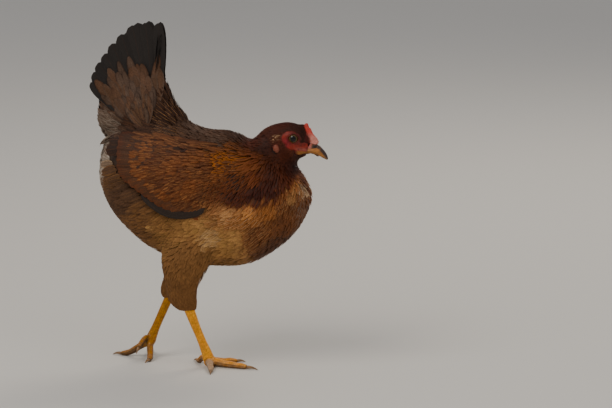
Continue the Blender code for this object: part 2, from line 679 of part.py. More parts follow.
def make_hen():
    clear_scene()
    materials = make_materials()
    hen = bpy.data.objects.new("hen", None)
    bpy.context.scene.collection.objects.link(hen)
    body = make_body(materials, hen)
    trunk_cutter = grown_copy(body["trunk"])
    make_face(body, materials, hen)
    tail_cutter = make_tail(trunk_cutter, materials, hen)
    make_wings(trunk_cutter, tail_cutter, materials, hen)
    for side in SIDES:
        make_leg(side, trunk_cutter, materials, hen)
    centre_on_floor(hen)


make_hen()
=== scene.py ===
"""Looks of the still hen: one skin, its feathers, eyes, bill and claws, and a plain studio.

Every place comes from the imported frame: a share of a node's box, or the node's own surface. Lengths
are in metres. Feathers are closed thin vanes, made from arrays and joined into a few large meshes.
"""

import math
from itertools import product

import bmesh
import bpy
import numpy as np
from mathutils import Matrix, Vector, noise
from mathutils.bvhtree import BVHTree
from mathutils.kdtree import KDTree


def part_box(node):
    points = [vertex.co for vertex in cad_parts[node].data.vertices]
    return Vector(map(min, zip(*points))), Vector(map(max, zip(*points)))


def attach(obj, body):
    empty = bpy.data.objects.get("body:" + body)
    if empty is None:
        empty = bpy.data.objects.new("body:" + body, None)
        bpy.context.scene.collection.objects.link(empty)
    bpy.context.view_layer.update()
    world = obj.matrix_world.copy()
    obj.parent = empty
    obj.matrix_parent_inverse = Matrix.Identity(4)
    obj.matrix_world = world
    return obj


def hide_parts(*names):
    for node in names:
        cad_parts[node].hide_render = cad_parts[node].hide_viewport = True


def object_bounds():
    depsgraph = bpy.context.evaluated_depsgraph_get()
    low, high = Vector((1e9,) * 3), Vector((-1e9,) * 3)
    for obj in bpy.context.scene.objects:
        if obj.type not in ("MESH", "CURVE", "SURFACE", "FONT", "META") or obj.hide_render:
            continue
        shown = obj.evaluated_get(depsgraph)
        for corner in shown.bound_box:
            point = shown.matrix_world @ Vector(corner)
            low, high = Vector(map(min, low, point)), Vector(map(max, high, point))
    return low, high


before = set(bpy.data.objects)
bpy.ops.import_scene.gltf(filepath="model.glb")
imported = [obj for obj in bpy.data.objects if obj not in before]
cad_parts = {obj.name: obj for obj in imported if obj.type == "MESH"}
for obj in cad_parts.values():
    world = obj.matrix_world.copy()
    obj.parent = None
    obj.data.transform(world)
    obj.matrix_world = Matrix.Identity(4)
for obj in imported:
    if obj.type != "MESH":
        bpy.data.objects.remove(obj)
cad_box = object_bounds()

MM = 0.001
SIDES = {"left": 1.0, "right": -1.0}
SEED = 11
BODY_VOXEL = 2.4 * MM
HEAD_VOXEL = 0.6 * MM
LEG_VOXEL = 0.55 * MM
CLOSE_GAP = 0.25 * MM            # the nodes grow by this before they are fused, then shrink again
TOES = ("middle", "inner", "outer", "hind")
PATCH = 0.003                    # a small feather's patch on its OFBake map
BUMP_DEPTH = 0.2 * MM
SHARP_ANGLE = math.radians(110)  # edges of feathers bent further than this are drawn sharp
BESIDE = 0.2                     # a distance from the midline that is outside the bird
DARKEST = 0.001                  # no skin or horn colour is darker than this
BARB_TURN = 6.2832               # one wave of shade to each barb
# Ramps of (position, linear colour): the floor by its noise, the eye by the distance from its axis
FLOOR_SHADES = ((0.3, (0.62, 0.59, 0.54)), (0.7, (0.68, 0.65, 0.60)))
EYE_BANDS = ((0.0, (0.002, 0.002, 0.002)), (0.52, (0.002, 0.002, 0.002)),
             (0.56, (0.030, 0.017, 0.006)), (0.68, (0.085, 0.050, 0.014)),
             (0.82, (0.070, 0.038, 0.012)), (0.92, (0.025, 0.012, 0.007)),
             (1.0, (0.010, 0.005, 0.004)))

# Colours, in linear light
PALETTE = {
    "black": (0.018, 0.014, 0.012),
    "blue_black": (0.024, 0.014, 0.009),
    "mahogany": (0.056, 0.011, 0.005),
    "liver": (0.082, 0.018, 0.005),
    "chestnut": (0.150, 0.038, 0.007),
    "gold": (0.370, 0.105, 0.008),
    "rufous": (0.190, 0.056, 0.012),
    "rust": (0.250, 0.082, 0.016),
    "brown": (0.105, 0.038, 0.014),
    "dark_brown": (0.052, 0.023, 0.012),
    "umber": (0.030, 0.015, 0.010),
    "grey_brown": (0.085, 0.042, 0.022),
    "tan": (0.400, 0.185, 0.062),
    "pale_tan": (0.500, 0.310, 0.160),
    "olive_tan": (0.320, 0.165, 0.045),
    "orange": (0.480, 0.190, 0.045),
    "ash": (0.260, 0.200, 0.150),
    "pale_grey": (0.540, 0.460, 0.380),
    "fawn": (0.185, 0.082, 0.026),
    "smoke": (0.090, 0.054, 0.036),
    "bark": (0.098, 0.048, 0.026),
}
# Small marks over the plumage: node and place as in the plumage table, radius in mm, then the
# colours of centre, edge and shaft.
MARKS = (
    ("head", 0.385, 0.86, 0.715, 4.8, "pale_tan tan pale_grey"),
    ("trunk", 0.630, 0.95, 0.375, 8.0, "tan tan pale_tan"),
    ("trunk", 0.975, 0.25, 0.53, 10.5, "fawn pale_tan pale_grey"),
    ("trunk", 0.935, 0.60, 0.49, 9.0, "fawn tan tan"),
    ("trunk", 0.560, 0.90, 0.22, 14.0, "olive_tan pale_tan pale_tan"),
    ("trunk", 0.275, 0.85, 0.27, 7.0, "olive_tan tan pale_tan"),
    ("trunk", 0.020, 0.50, 0.86, 9.0, "ash pale_grey pale_grey"),
    ("trunk", 0.010, 0.40, 0.60, 12.0, "ash pale_grey pale_grey"),
)

# The plumage, place by place, under the node that the places are on and the tract their feathers
# belong to. A row holds the place's shares of the node's box (rear to front, middle to side, bottom
# to top), the lie of the feathers (forward, outward, upward), their length and spacing in mm, their
# width as a share of their length, how loosely they lie, and the colours of centre, edge and shaft.
PLUMAGE = (
    ("head", "head", (
        (0.830, 0.25, 0.860, (-0.8, 0.1, 0.5), 3.6, 1.1, 0.36, 0.05, "mahogany umber mahogany"),
        (0.500, 0.30, 1.000, (-1.0, 0.1, 0.0), 4.8, 1.2, 0.34, 0.05, "mahogany mahogany mahogany"),
        (0.140, 0.35, 0.820, (-0.75, 0.1, -0.6), 8.0, 1.8, 0.30, 0.08, "mahogany liver liver"),
        (0.350, 0.80, 0.850, (-1.0, 0.0, -0.1), 4.8, 1.3, 0.34, 0.05, "mahogany mahogany mahogany"),
        (0.660, 0.80, 0.860, (-1.0, 0.0, 0.1), 3.6, 1.1, 0.36, 0.05, "mahogany umber mahogany"),
        (0.380, 0.80, 0.700, (-0.9, 0.2, -0.2), 5.5, 1.2, 0.30, 0.20, "liver mahogany liver"),
        (0.220, 0.80, 0.520, (-0.8, 0.0, -0.6), 6.5, 1.5, 0.30, 0.08, "mahogany umber mahogany"),
        (0.620, 0.75, 0.340, (-0.9, 0.0, -0.4), 3.4, 1.1, 0.36, 0.05, "liver mahogany liver"),
        (0.880, 0.45, 0.240, (-0.9, 0.2, -0.3), 3.2, 1.1, 0.36, 0.05, "mahogany umber mahogany"),
        (0.620, 0.30, 0.120, (-0.7, 0.1, -0.7), 6.0, 1.5, 0.32, 0.10, "mahogany umber mahogany"),
    )),
    ("head", "neck", (
        (0.250, 0.60, 0.220, (-0.55, 0.1, -0.8), 11.0, 2.1, 0.26, 0.08, "umber mahogany mahogany"),
    )),
    ("neck", "neck", (
        (0.800, 0.25, 0.750, (-0.25, 0.1, -1.0), 9.0, 1.9, 0.30, 0.08, "umber umber mahogany"),
        (0.950, 0.20, 0.300, (0.15, 0.1, -1.0), 11.0, 2.4, 0.34, 0.08, "mahogany liver tan"),
        (0.720, 0.55, 0.500, (-0.15, 0.1, -1.0), 13.0, 2.4, 0.26, 0.07, "umber mahogany mahogany"),
        (0.450, 0.80, 0.520, (-0.35, 0.1, -0.9), 17.0, 2.6, 0.20, 0.06, "umber liver mahogany"),
        (0.420, 1.00, 0.120, (-0.35, 0.1, -0.9), 20.0, 2.8, 0.18, 0.06, "umber mahogany liver"),
        (0.080, 0.45, 1.000, (-0.9, 0.1, -0.5), 17.0, 2.5, 0.20, 0.06, "liver mahogany liver"),
        (0.120, 0.85, 0.620, (-0.65, 0.1, -0.7), 22.0, 2.8, 0.18, 0.07, "liver chestnut chestnut"),
    )),
    ("trunk", "neck", (
        (0.700, 0.78, 0.800, (-0.95, 0.1, -0.35), 18.0, 2.8, 0.24, 0.07, "liver rufous chestnut"),
        (0.645, 0.60, 0.830, (-1.0, 0.1, -0.15), 14.0, 2.7, 0.27, 0.07, "umber rufous umber"),
        (0.632, 0.80, 0.750, (-1.0, 0.1, -0.15), 15.0, 2.7, 0.27, 0.08, "black gold chestnut"),
        (0.730, 0.82, 0.700, (-0.75, 0.1, -0.6), 23.0, 2.8, 0.21, 0.07, "chestnut rufous chestnut"),
        (0.690, 0.88, 0.590, (-0.7, 0.1, -0.65), 22.0, 2.8, 0.22, 0.10, "black chestnut umber"),
        (0.750, 0.88, 0.600, (-0.5, 0.1, -0.85), 23.0, 2.8, 0.22, 0.07, "liver chestnut mahogany"),
        (0.700, 0.92, 0.490, (-0.55, 0.1, -0.85), 21.0, 2.9, 0.24, 0.09, "umber liver mahogany"),
        (0.771, 0.85, 0.510, (-0.35, 0.1, -0.95), 20.0, 2.8, 0.24, 0.07, "umber mahogany mahogany"),
        (0.835, 0.75, 0.530, (-0.2, 0.1, -1.0), 18.0, 2.7, 0.25, 0.07, "umber mahogany liver"),
        (0.905, 0.60, 0.610, (-0.1, 0.1, -1.0), 15.0, 2.8, 0.28, 0.08, "mahogany liver chestnut"),
    )),
    ("trunk", "breast", (
        (0.985, 0.20, 0.600, (0.1, 0.2, -1.0), 14.0, 2.8, 0.34, 0.07, "rufous orange pale_tan"),
        (0.960, 0.45, 0.550, (-0.1, 0.2, -1.0), 15.0, 2.8, 0.33, 0.07, "rufous orange pale_tan"),
        (0.975, 0.30, 0.400, (-0.3, 0.2, -0.9), 16.0, 3.1, 0.34, 0.07, "brown rufous ash"),
        (0.900, 0.62, 0.470, (-0.4, 0.1, -0.9), 17.0, 3.0, 0.31, 0.07, "brown rufous tan"),
        (0.830, 0.78, 0.420, (-0.55, 0.1, -0.8), 18.0, 3.2, 0.31, 0.08, "rust rust tan"),
        (0.740, 0.90, 0.400, (-0.8, 0.1, -0.55), 19.0, 3.3, 0.31, 0.10, "rust orange pale_tan"),
        (0.900, 0.55, 0.300, (-0.65, 0.1, -0.75), 18.0, 3.4, 0.33, 0.08, "brown rufous rufous"),
        (0.840, 0.30, 0.160, (-0.85, 0.2, -0.5), 19.0, 3.5, 0.33, 0.08, "dark_brown brown rufous"),
        (0.790, 0.80, 0.240, (-0.85, 0.1, -0.45), 20.0, 3.4, 0.31, 0.10, "brown rufous tan"),
        (0.670, 0.95, 0.380, (-0.95, 0.1, -0.25), 20.0, 3.4, 0.31, 0.10, "rust tan pale_tan"),
    )),
    ("trunk", "belly", (
        (0.650, 0.80, 0.200, (-0.95, 0.1, -0.3), 21.0, 3.3, 0.27, 0.10, "olive_tan tan tan"),
        (0.600, 0.25, 0.020, (-1.0, 0.1, 0.0), 21.0, 3.4, 0.30, 0.10, "fawn olive_tan olive_tan"),
        (0.480, 0.85, 0.260, (-0.9, 0.1, -0.4), 22.0, 3.3, 0.27, 0.10, "olive_tan tan tan"),
        (0.360, 0.75, 0.180, (-0.9, 0.1, -0.4), 23.0, 3.4, 0.27, 0.11, "fawn olive_tan fawn"),
        (0.400, 0.20, 0.050, (-1.0, 0.1, 0.2), 23.0, 3.5, 0.30, 0.11, "fawn olive_tan olive_tan"),
    )),
    ("trunk", "flank", (
        (0.360, 0.95, 0.400, (-0.9, 0.1, -0.4), 23.0, 3.3, 0.27, 0.10, "fawn olive_tan fawn"),
        (0.200, 0.75, 0.300, (-0.85, 0.2, -0.45), 24.0, 3.4, 0.28, 0.13, "fawn grey_brown fawn"),
        (0.120, 0.65, 0.450, (-0.85, 0.2, -0.40), 24.0, 3.4, 0.28, 0.15, "grey_brown grey_brown fawn"),
        (0.060, 0.55, 0.580, (-0.85, 0.3, -0.2), 24.0, 3.4, 0.30, 0.19, "grey_brown fawn fawn"),
        (0.170, 0.15, 0.220, (-0.9, 0.1, 0.35), 24.0, 3.5, 0.31, 0.14, "fawn fawn fawn"),
    )),
    ("trunk", "vent", (
        (0.020, 0.15, 0.680, (-0.8, 0.2, 0.5), 22.0, 3.4, 0.40, 0.45, "ash pale_grey pale_grey"),
        (0.050, 0.40, 0.840, (-0.8, 0.25, 0.4), 22.0, 3.3, 0.40, 0.50, "smoke ash ash"),
    )),
    ("trunk", "back", (
        (0.640, 0.20, 0.900, (-1.0, 0.1, -0.05), 15.0, 3.5, 0.38, 0.08, "dark_brown dark_brown grey_brown"),
        (0.590, 0.55, 0.880, (-1.0, 0.1, 0.0), 16.0, 3.5, 0.36, 0.08, "smoke dark_brown grey_brown"),
        (0.450, 0.25, 0.980, (-1.0, 0.1, 0.15), 19.0, 3.7, 0.32, 0.08, "smoke dark_brown grey_brown"),
        (0.340, 0.60, 0.940, (-0.95, 0.1, 0.2), 25.0, 3.7, 0.26, 0.08, "dark_brown smoke tan"),
        (0.230, 0.80, 0.880, (-0.95, 0.1, 0.2), 28.0, 3.7, 0.24, 0.10, "umber dark_brown brown"),
    )),
    ("tail_base", "saddle", (
        (0.750, 0.70, 0.320, (-0.8, 0.1, 0.55), 32.0, 3.9, 0.24, 0.06, "umber dark_brown tan"),
        (0.880, 0.20, 0.420, (-0.7, 0.05, 0.7), 30.0, 3.9, 0.24, 0.06, "umber dark_brown tan"),
        (0.400, 0.95, 0.250, (-0.9, 0.1, 0.42), 34.0, 4.1, 0.24, 0.06, "dark_brown umber brown"),
    )),
    ("tail_base", "vent", (
        (0.120, 0.80, 0.220, (-0.9, 0.2, 0.25), 27.0, 3.4, 0.24, 0.45, "smoke ash ash"),
    )),
    ("tail_base", "saddle", (
        (0.200, 0.90, 0.450, (-0.9, 0.1, 0.45), 32.0, 4.0, 0.26, 0.10, "bark umber bark"),
        (0.550, 0.60, 0.620, (-0.5, 0.0, 0.85), 36.0, 4.4, 0.26, 0.04, "dark_brown umber brown"),
    )),
    ("thigh", "thigh", (
        (0.650, 0.75, 0.880, (-0.45, 0.0, -0.9), 20.0, 3.0, 0.26, 0.07, "fawn fawn olive_tan"),
        (0.400, 0.85, 0.600, (-0.30, 0.0, -1.0), 17.0, 2.6, 0.24, 0.05, "fawn fawn olive_tan"),
        (0.380, 0.50, 0.350, (-0.10, 0.0, -1.0), 13.0, 2.1, 0.24, 0.04, "fawn fawn fawn"),
        (0.380, 0.30, 0.150, (0.10, 0.0, -1.0), 8.0, 1.5, 0.26, 0.03, "fawn fawn fawn"),
        (0.360, 0.25, 0.020, (0.30, 0.0, -1.0), 4.5, 1.2, 0.29, 0.03, "fawn fawn fawn"),
    )),
)


# ---- Sums ----
def unit(vectors):
    vectors = np.asarray(vectors, float)
    return vectors / np.maximum(np.linalg.norm(vectors, axis=-1, keepdims=True), 1e-12)


def flatten(vectors, normals):
    """The part of each vector that lies along the surface, one unit long."""
    return unit(vectors - normals * (vectors * normals).sum(-1, keepdims=True))


def step(low, high, value):
    """0 below low, 1 above high, smooth between."""
    share = np.clip((value - low) / (high - low), 0.0, 1.0)
    return share * share * (3 - 2 * share)


def blended(first, second, share):
    """What goes from first to second as the share at each point goes from 0 to 1."""
    return first + (second - first) * share[:, None]


def ripple(points, size, seed):
    """Smooth waves from about -1 to 1 over places in space, with features of that size."""
    rng = np.random.default_rng(seed)
    total = np.zeros(len(points))
    for _ in range(5):
        wave = unit(rng.normal(size=3)) * 2 * math.pi / (size * rng.uniform(1.0, 2.4))
        total += np.sin(points @ wave + rng.uniform(0, 2 * math.pi))
    return total / 2.6


# ---- Places from the frame ----
def corners(node):
    """The low and high corners of a CAD node's box."""
    lo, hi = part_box(node)
    return np.array(lo), np.array(hi)


def at(node, along, out, up):
    """A place by its shares of a node's box: rear to front, midline to side, bottom to top."""
    lo, hi = corners(node)
    near, far = (0.0, hi[1]) if lo[1] < 0 < hi[1] else sorted((lo[1], hi[1]), key=abs)
    return np.array([lo[0] + (hi[0] - lo[0]) * along, near + (far - near) * out,
                     lo[2] + (hi[2] - lo[2]) * up])


def shares_of(node, points):
    """Where points lie in a node's box, as shares of it."""
    lo, hi = corners(node)
    return (points - lo) / (hi - lo)


def within(points, node, reach):
    """1 inside a CAD node and on its surface, falling to 0 at that distance from it."""
    shape = merged(node)
    tree = BVHTree.FromBMesh(shape)
    shape.free()
    lo, hi = corners(node)
    found = np.zeros(len(points))
    near = np.flatnonzero(((points > lo - reach) & (points < hi + reach)).all(axis=1))
    for number in near:
        place, normal, _, gap = tree.find_nearest(Vector(points[number]))
        outside = (Vector(points[number]) - place).dot(normal) > 0
        found[number] = 1.0 - gap / reach if outside else 1.0
    return np.clip(found, 0.0, 1.0)


def merged(node):
    """A bmesh of a CAD node, with the corners of its faces joined."""
    shape = bmesh.new()
    shape.from_mesh(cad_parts[node].data)
    bmesh.ops.remove_doubles(shape, verts=shape.verts, dist=1e-6)
    shape.normal_update()
    return shape


def node_points(node):
    """The points of a CAD node and their normals."""
    shape = merged(node)
    points = np.array([vertex.co for vertex in shape.verts])
    normals = np.array([vertex.normal for vertex in shape.verts])
    shape.free()
    return points, normals


# ---- Meshes ----
def coordinates(mesh):
    found = np.empty(len(mesh.vertices) * 3, np.float32)
    mesh.vertices.foreach_get("co", found)
    return found.reshape(-1, 3).astype(float)


def vertex_normals(mesh):
    found = np.empty(len(mesh.vertices) * 3, np.float32)
    mesh.vertex_normals.foreach_get("vector", found)
    return found.reshape(-1, 3).astype(float)


def move_to(mesh, points):
    mesh.vertices.foreach_set("co", np.asarray(points, np.float32).ravel())
    mesh.update()


def made(name, mesh):
    """An object for some data, in the scene."""
    thing = bpy.data.objects.new(name, mesh)
    bpy.context.scene.collection.objects.link(thing)
    return thing


def evaluated(thing, name):
    """The mesh of an object with its modifiers applied; the object goes away."""
    graph = bpy.context.evaluated_depsgraph_get()
    mesh = bpy.data.meshes.new_from_object(thing.evaluated_get(graph))
    mesh.name = name
    bpy.data.objects.remove(thing)
    return mesh


def softened(thing, rounds):
    """Smooths an object's surface when its modifiers are applied."""
    soften = thing.modifiers.new("soften", "SMOOTH")
    soften.factor = 0.5
    soften.iterations = rounds


def fused(name, nodes, voxel, smoothing):
    """One closed mesh round the nodes, remeshed in small squares and smoothed."""
    joined = bmesh.new()
    for node in nodes:
        shape = merged(node)
        normals = [vertex.normal.copy() for vertex in shape.verts]
        for vertex, normal in zip(shape.verts, normals):
            vertex.co += normal * CLOSE_GAP
        part = bpy.data.meshes.new(node)
        shape.to_mesh(part)
        shape.free()
        joined.from_mesh(part)
    mesh = bpy.data.meshes.new(name)
    joined.to_mesh(mesh)
    joined.free()
    thing = made(name, mesh)
    remesh = thing.modifiers.new("voxels", "REMESH")
    remesh.mode = "VOXEL"
    remesh.voxel_size = voxel
    softened(thing, smoothing)
    mesh = evaluated(thing, name)
    move_to(mesh, coordinates(mesh) - vertex_normals(mesh) * CLOSE_GAP)
    return mesh


def tree_of(mesh):
    """A search tree of a mesh, with each face's smooth normal."""
    points, faces = polygons_of(mesh)
    normals = vertex_normals(mesh)
    smooth = unit(np.array([normals[list(face)].mean(axis=0) for face in faces]))
    return BVHTree.FromPolygons(points, faces), smooth


def polygons_of(mesh):
    """A mesh's points and the points of each of its faces."""
    return coordinates(mesh).tolist(), [tuple(face.vertices) for face in mesh.polygons]


def nearest(tree, points):
    """The closest surface place and its smooth normal to each point."""
    search, smooth = tree
    found = [search.find_nearest(point) for point in points.tolist()]
    return np.array([hit[0] for hit in found]), smooth[[hit[2] for hit in found]]


def relaxed(mesh, weight, rounds):
    """Moves each vertex toward the middle of its neighbours, as far as its weight says."""
    edges = np.array([tuple(edge.vertices) for edge in mesh.edges])
    points = coordinates(mesh)
    count = np.bincount(edges.ravel(), minlength=len(points))[:, None]
    for _ in range(rounds):
        total = np.zeros_like(points)
        np.add.at(total, edges[:, 0], points[edges[:, 1]])
        np.add.at(total, edges[:, 1], points[edges[:, 0]])
        points += (total / count - points) * (0.6 * weight)[:, None]
    move_to(mesh, points)


# ---- The plumage table as functions of place ----
BLEND_REACH = 4.0 * MM           # guides closer than this to a place count alike


def paints(names):
    """The palette's colours for a feather's centre, edge and shaft, from their names in a row."""
    return np.array([PALETTE[name] for name in names.split()])


def guide_rows():
    """Places, lies, numbers, colours and tracts of the table's rows, on both sides of the body."""
    places, lies, numbers, colours, tracts = [], [], [], [], []
    for node, tract, rows in PLUMAGE:
        nodes = [node + "_left", node + "_right"] if node == "thigh" else [node]
        for along, out, up, lie, *sizes, names in rows:
            for name in nodes:
                place = at(name, along, out, up)
                for sign in (1.0, -1.0) if name == node else (math.copysign(1.0, place[1]),):
                    places.append([place[0], sign * abs(place[1]), place[2]])
                    lies.append([lie[0], sign * lie[1], lie[2]])
                    numbers.append(sizes)
                    colours.append(paints(names))
                    tracts.append(tract)
    return (np.array(places), np.array(lies), np.array(numbers), np.array(colours),
            np.array(tracts))


GUIDE_PLACES, GUIDE_LIES, GUIDE_NUMBERS, GUIDE_COLOURS, GUIDE_TRACTS = guide_rows()
GUIDE_COLOURS_LOG = np.log(GUIDE_COLOURS)


def guide_shares(points, power=2.2):
    """How much each place of the table counts at each point: the nearer, the more."""
    gaps = ((points[:, None, :] - GUIDE_PLACES[None]) ** 2).sum(-1) + BLEND_REACH ** 2
    shares = gaps ** -power
    return shares / shares.sum(axis=1, keepdims=True)


def sizes_at(points):
    """Feather length and spacing in metres, width share and looseness at each point."""
    found = guide_shares(points) @ GUIDE_NUMBERS
    return found[:, 0] * MM, found[:, 1] * MM, found[:, 2], found[:, 3]


def lie_at(points, normals):
    """The direction along the surface in which feathers lie at each point."""
    return flatten(guide_shares(points) @ GUIDE_LIES, normals)


def marking(points, power=2.6):
    """Centre, edge and shaft colours at each point: the pattern that skin and feathers share."""
    shares = guide_shares(points, power)
    found = np.exp(np.einsum("ng,gkc->nkc", shares, GUIDE_COLOURS_LOG))
    folded = np.stack([points[:, 0], np.abs(points[:, 1]), points[:, 2]], 1)
    for node, along, out, up, radius, names in MARKS:
        gap = np.linalg.norm(folded - at(node, along, out, up), axis=1) / (radius * MM)
        share = 1 - step(0.55, 1.15, gap + 0.18 * ripple(points, 6 * MM, 5))
        found = blended(found, paints(names), share[:, None])
    return found


def tract_at(points):
    return GUIDE_TRACTS[guide_shares(points).argmax(axis=1)]


def coat_depth(points):
    """How far the skin lies below the outer surface at each point."""
    return np.clip(0.22 * sizes_at(points)[0], 1.0 * MM, 5.5 * MM)


# ---- The outer surface ----
FEATHERED = ("trunk", "neck", "tail_base", "thigh_left", "thigh_right", "head")
HEM_TOP = 0.32                   # share of a thigh's height below which the hem is shaped
HEM_DRAWN = 0.86                 # how far down the thighs' feathers reach
HEM_FLARE = 7.0 * MM             # how much fuller the hem is in front of the shank


def body_shape():
    """The outer surface that the body's feathers follow, with the creases between its nodes
    smoothed and the thighs drawn up to where their feathers end."""
    mesh = fused("outer", FEATHERED + ("comb",), BODY_VOXEL, 3)
    points = coordinates(mesh)
    for side, sign in SIDES.items():
        lo, hi = corners("thigh_" + side)
        hem = lo[2] + HEM_TOP * (hi[2] - lo[2])
        low = (points[:, 1] * sign > 0) & (points[:, 2] < hem)
        foot, _ = node_points("thigh_" + side)
        middle = foot[foot[:, 2] < lo[2] + 1 * MM][:, 0].mean()
        ahead = np.clip((points[low, 0] - middle) / (8 * MM), 0.0, 1.0)
        points[low, 0] += HEM_FLARE * ahead * (hem - points[low, 2]) / (hem - lo[2])
        points[low, 2] = hem - HEM_DRAWN * (hem - points[low, 2])
    move_to(mesh, points)
    creased = np.zeros(len(points))
    for node, other in (("head", "neck"), ("neck", "trunk"), ("tail_base", "trunk"),
                        ("thigh_left", "trunk"), ("thigh_right", "trunk")):
        both = within(points, node, 7 * MM) * within(points, other, 7 * MM)
        creased = np.maximum(creased, step(0.05, 0.4, both))
    relaxed(mesh, creased, 16)
    return mesh


# ---- The eyes' own frame ----
EYE = {side: (np.array(corners("eye_" + side)).mean(axis=0),
              unit([0.16, sign, 0.06])) for side, sign in SIDES.items()}
EYE_RADIUS = (corners("eye_left")[1][0] - corners("eye_left")[0][0]) / 2


def round_eye(points, side):
    """Distance along the head rearwards, upwards, and outwards from an eye's centre."""
    centre, axis = EYE[side]
    forward = flatten(np.array([1.0, 0.0, -0.10]), axis)
    upward = np.cross(forward, axis)
    upward = upward * math.copysign(1.0, upward[2])
    offset = points - centre
    return offset @ forward, offset @ upward, offset @ axis


# Oval patches of bare skin beside the eye: their middle forward and above the eye's centre, then
# their half length and half height, in mm
CHEEK = (8.0, -8.8, 16.0, 5.5)
GAPE = (12.5, -15.8, 9.5, 4.2)


def oval(forward, upward, patch):
    """Distance from the middle of a patch, 1 at its rim."""
    ahead, above, length, height = (value * MM for value in patch)
    return np.hypot((forward - ahead) / length, (upward - above) / height)


# The line that bounds the bare comb behind: height shares of its box and the shares forward there
COMB_EDGE = ((0.0, 0.07, 0.30, 0.57, 0.80, 1.0), (0.62, 0.60, 0.55, 0.38, 0.28, 0.25))


def comb_front(points):
    """1 on the bare front of the comb, 0 on its feathered rear."""
    share = shares_of("comb", points)
    return step(-0.06, 0.06, share[:, 0] - np.interp(share[:, 2], *COMB_EDGE))


def bare_face(points):
    """1 on the bare red skin round each eye, on comb, wattles and lobes, 0 where feathers grow."""
    found = step(0.2, 0.6, within(points, "comb", 1.2 * MM)) * comb_front(points)
    for side, sign in SIDES.items():
        forward, upward, outward = round_eye(points, side)
        behind = np.where(forward < 0, 13.2, 9.0) * MM
        ring = np.hypot((forward + 0.3 * MM) / behind, (upward + 0.4 * MM) / (8.9 * MM))
        ring = np.where((forward > 3 * MM) & (upward > 0), ring * 1.12, ring)
        for patch in (CHEEK, GAPE):
            ring = np.minimum(ring, oval(forward, upward, patch))
        ring = ring * (1 + 0.04 * ripple(points, 4 * MM, 3))
        near = (outward > 0) & (points[:, 1] * sign > 0)
        found = np.maximum(found, np.where(near, 1 - step(0.90, 1.10, ring), 0))
        found = np.maximum(found, step(0.15, 0.6, within(points, "earlobe_" + side, 1.0 * MM)))
    return found


# ---- Camera and studio ----
# The camera: what it looks at in shares of the CAD's box, how far it is turned and raised from a
# view of the bird's right side, its distance and its lens
CAMERA_AIM = (0.887, 0.694, 0.474)
CAMERA_TURN, CAMERA_RISE = math.radians(12.0), math.radians(10.0)
CAMERA_DISTANCE = 4.0
CAMERA_LENS, CAMERA_SENSOR = 196.0, 36.0
# Lights: name, place from the bird's middle, power, width, colour
LIGHTS = (("key", (-0.9, -1.5, 1.9), 30.0, 1.5, (1.0, 0.96, 0.90)),
          ("fill", (1.7, -1.3, 1.0), 9.0, 1.6, (1.0, 0.96, 0.90)),
          ("rim", (0.6, 1.6, 1.6), 20.0, 1.2, (1.0, 0.93, 0.82)))
SKY, SKY_STRENGTH = (0.95, 0.96, 1.0, 1.0), 0.45
FLOOR_REACH = 12.0


def aimed(name, data, place, direction):
    """An object for a camera or light, at a place and facing a direction."""
    thing = made(name, data)
    thing.location = place
    thing.rotation_mode = "QUATERNION"
    thing.rotation_quaternion = Vector(direction).to_track_quat("-Z", "Y")
    return thing


def make_camera(lo, hi):
    """The photo's view, from the CAD's box."""
    target = lo + (hi - lo) * np.array(CAMERA_AIM)
    back = np.array([math.sin(CAMERA_TURN) * math.cos(CAMERA_RISE),
                     -math.cos(CAMERA_TURN) * math.cos(CAMERA_RISE), math.sin(CAMERA_RISE)])
    data = bpy.data.cameras.new("camera")
    data.sensor_width = CAMERA_SENSOR
    data.lens = CAMERA_LENS
    data.clip_end = 60.0
    bpy.context.scene.camera = aimed("camera", data, target + back * CAMERA_DISTANCE, -back)


def make_lights(middle):
    """A key light, a fill and a rim. Only the key shows in reflections."""
    for name, place, power, width, colour in LIGHTS:
        data = bpy.data.lights.new(name, "AREA")
        data.shape = "DISK"
        data.energy = power
        data.size = width
        data.color = colour
        spot = Vector(middle + np.array(place))
        light = aimed(name, data, spot, Vector(middle) - spot)
        light.visible_glossy = name == "key"


def make_studio():
    """Camera, lights, surrounding light and floor."""
    lo, hi = (np.array(corner) for corner in cad_box)
    make_camera(lo, hi)
    make_lights((lo + hi) / 2)
    world = bpy.data.worlds.new("studio")
    world.use_nodes = True
    background = world.node_tree.nodes["Background"]
    background.inputs["Color"].default_value = SKY
    background.inputs["Strength"].default_value = SKY_STRENGTH
    bpy.context.scene.world = world

    mesh = bpy.data.meshes.new("floor")
    far = FLOOR_REACH
    mesh.from_pydata([(-far, -far, 0), (far, -far, 0), (far, far, 0), (-far, far, 0)],
                     [], [(0, 1, 2, 3)])
    floor = made("floor", mesh)
    looks = Looks("floor", 0.75)
    grain = looks.add("TexNoise", {"Scale": 3.0, "Detail": 6.0}).outputs["Fac"]
    looks.set({"Base Color": looks.ramp(grain, *FLOOR_SHADES)})
    mesh.materials.append(looks.material)


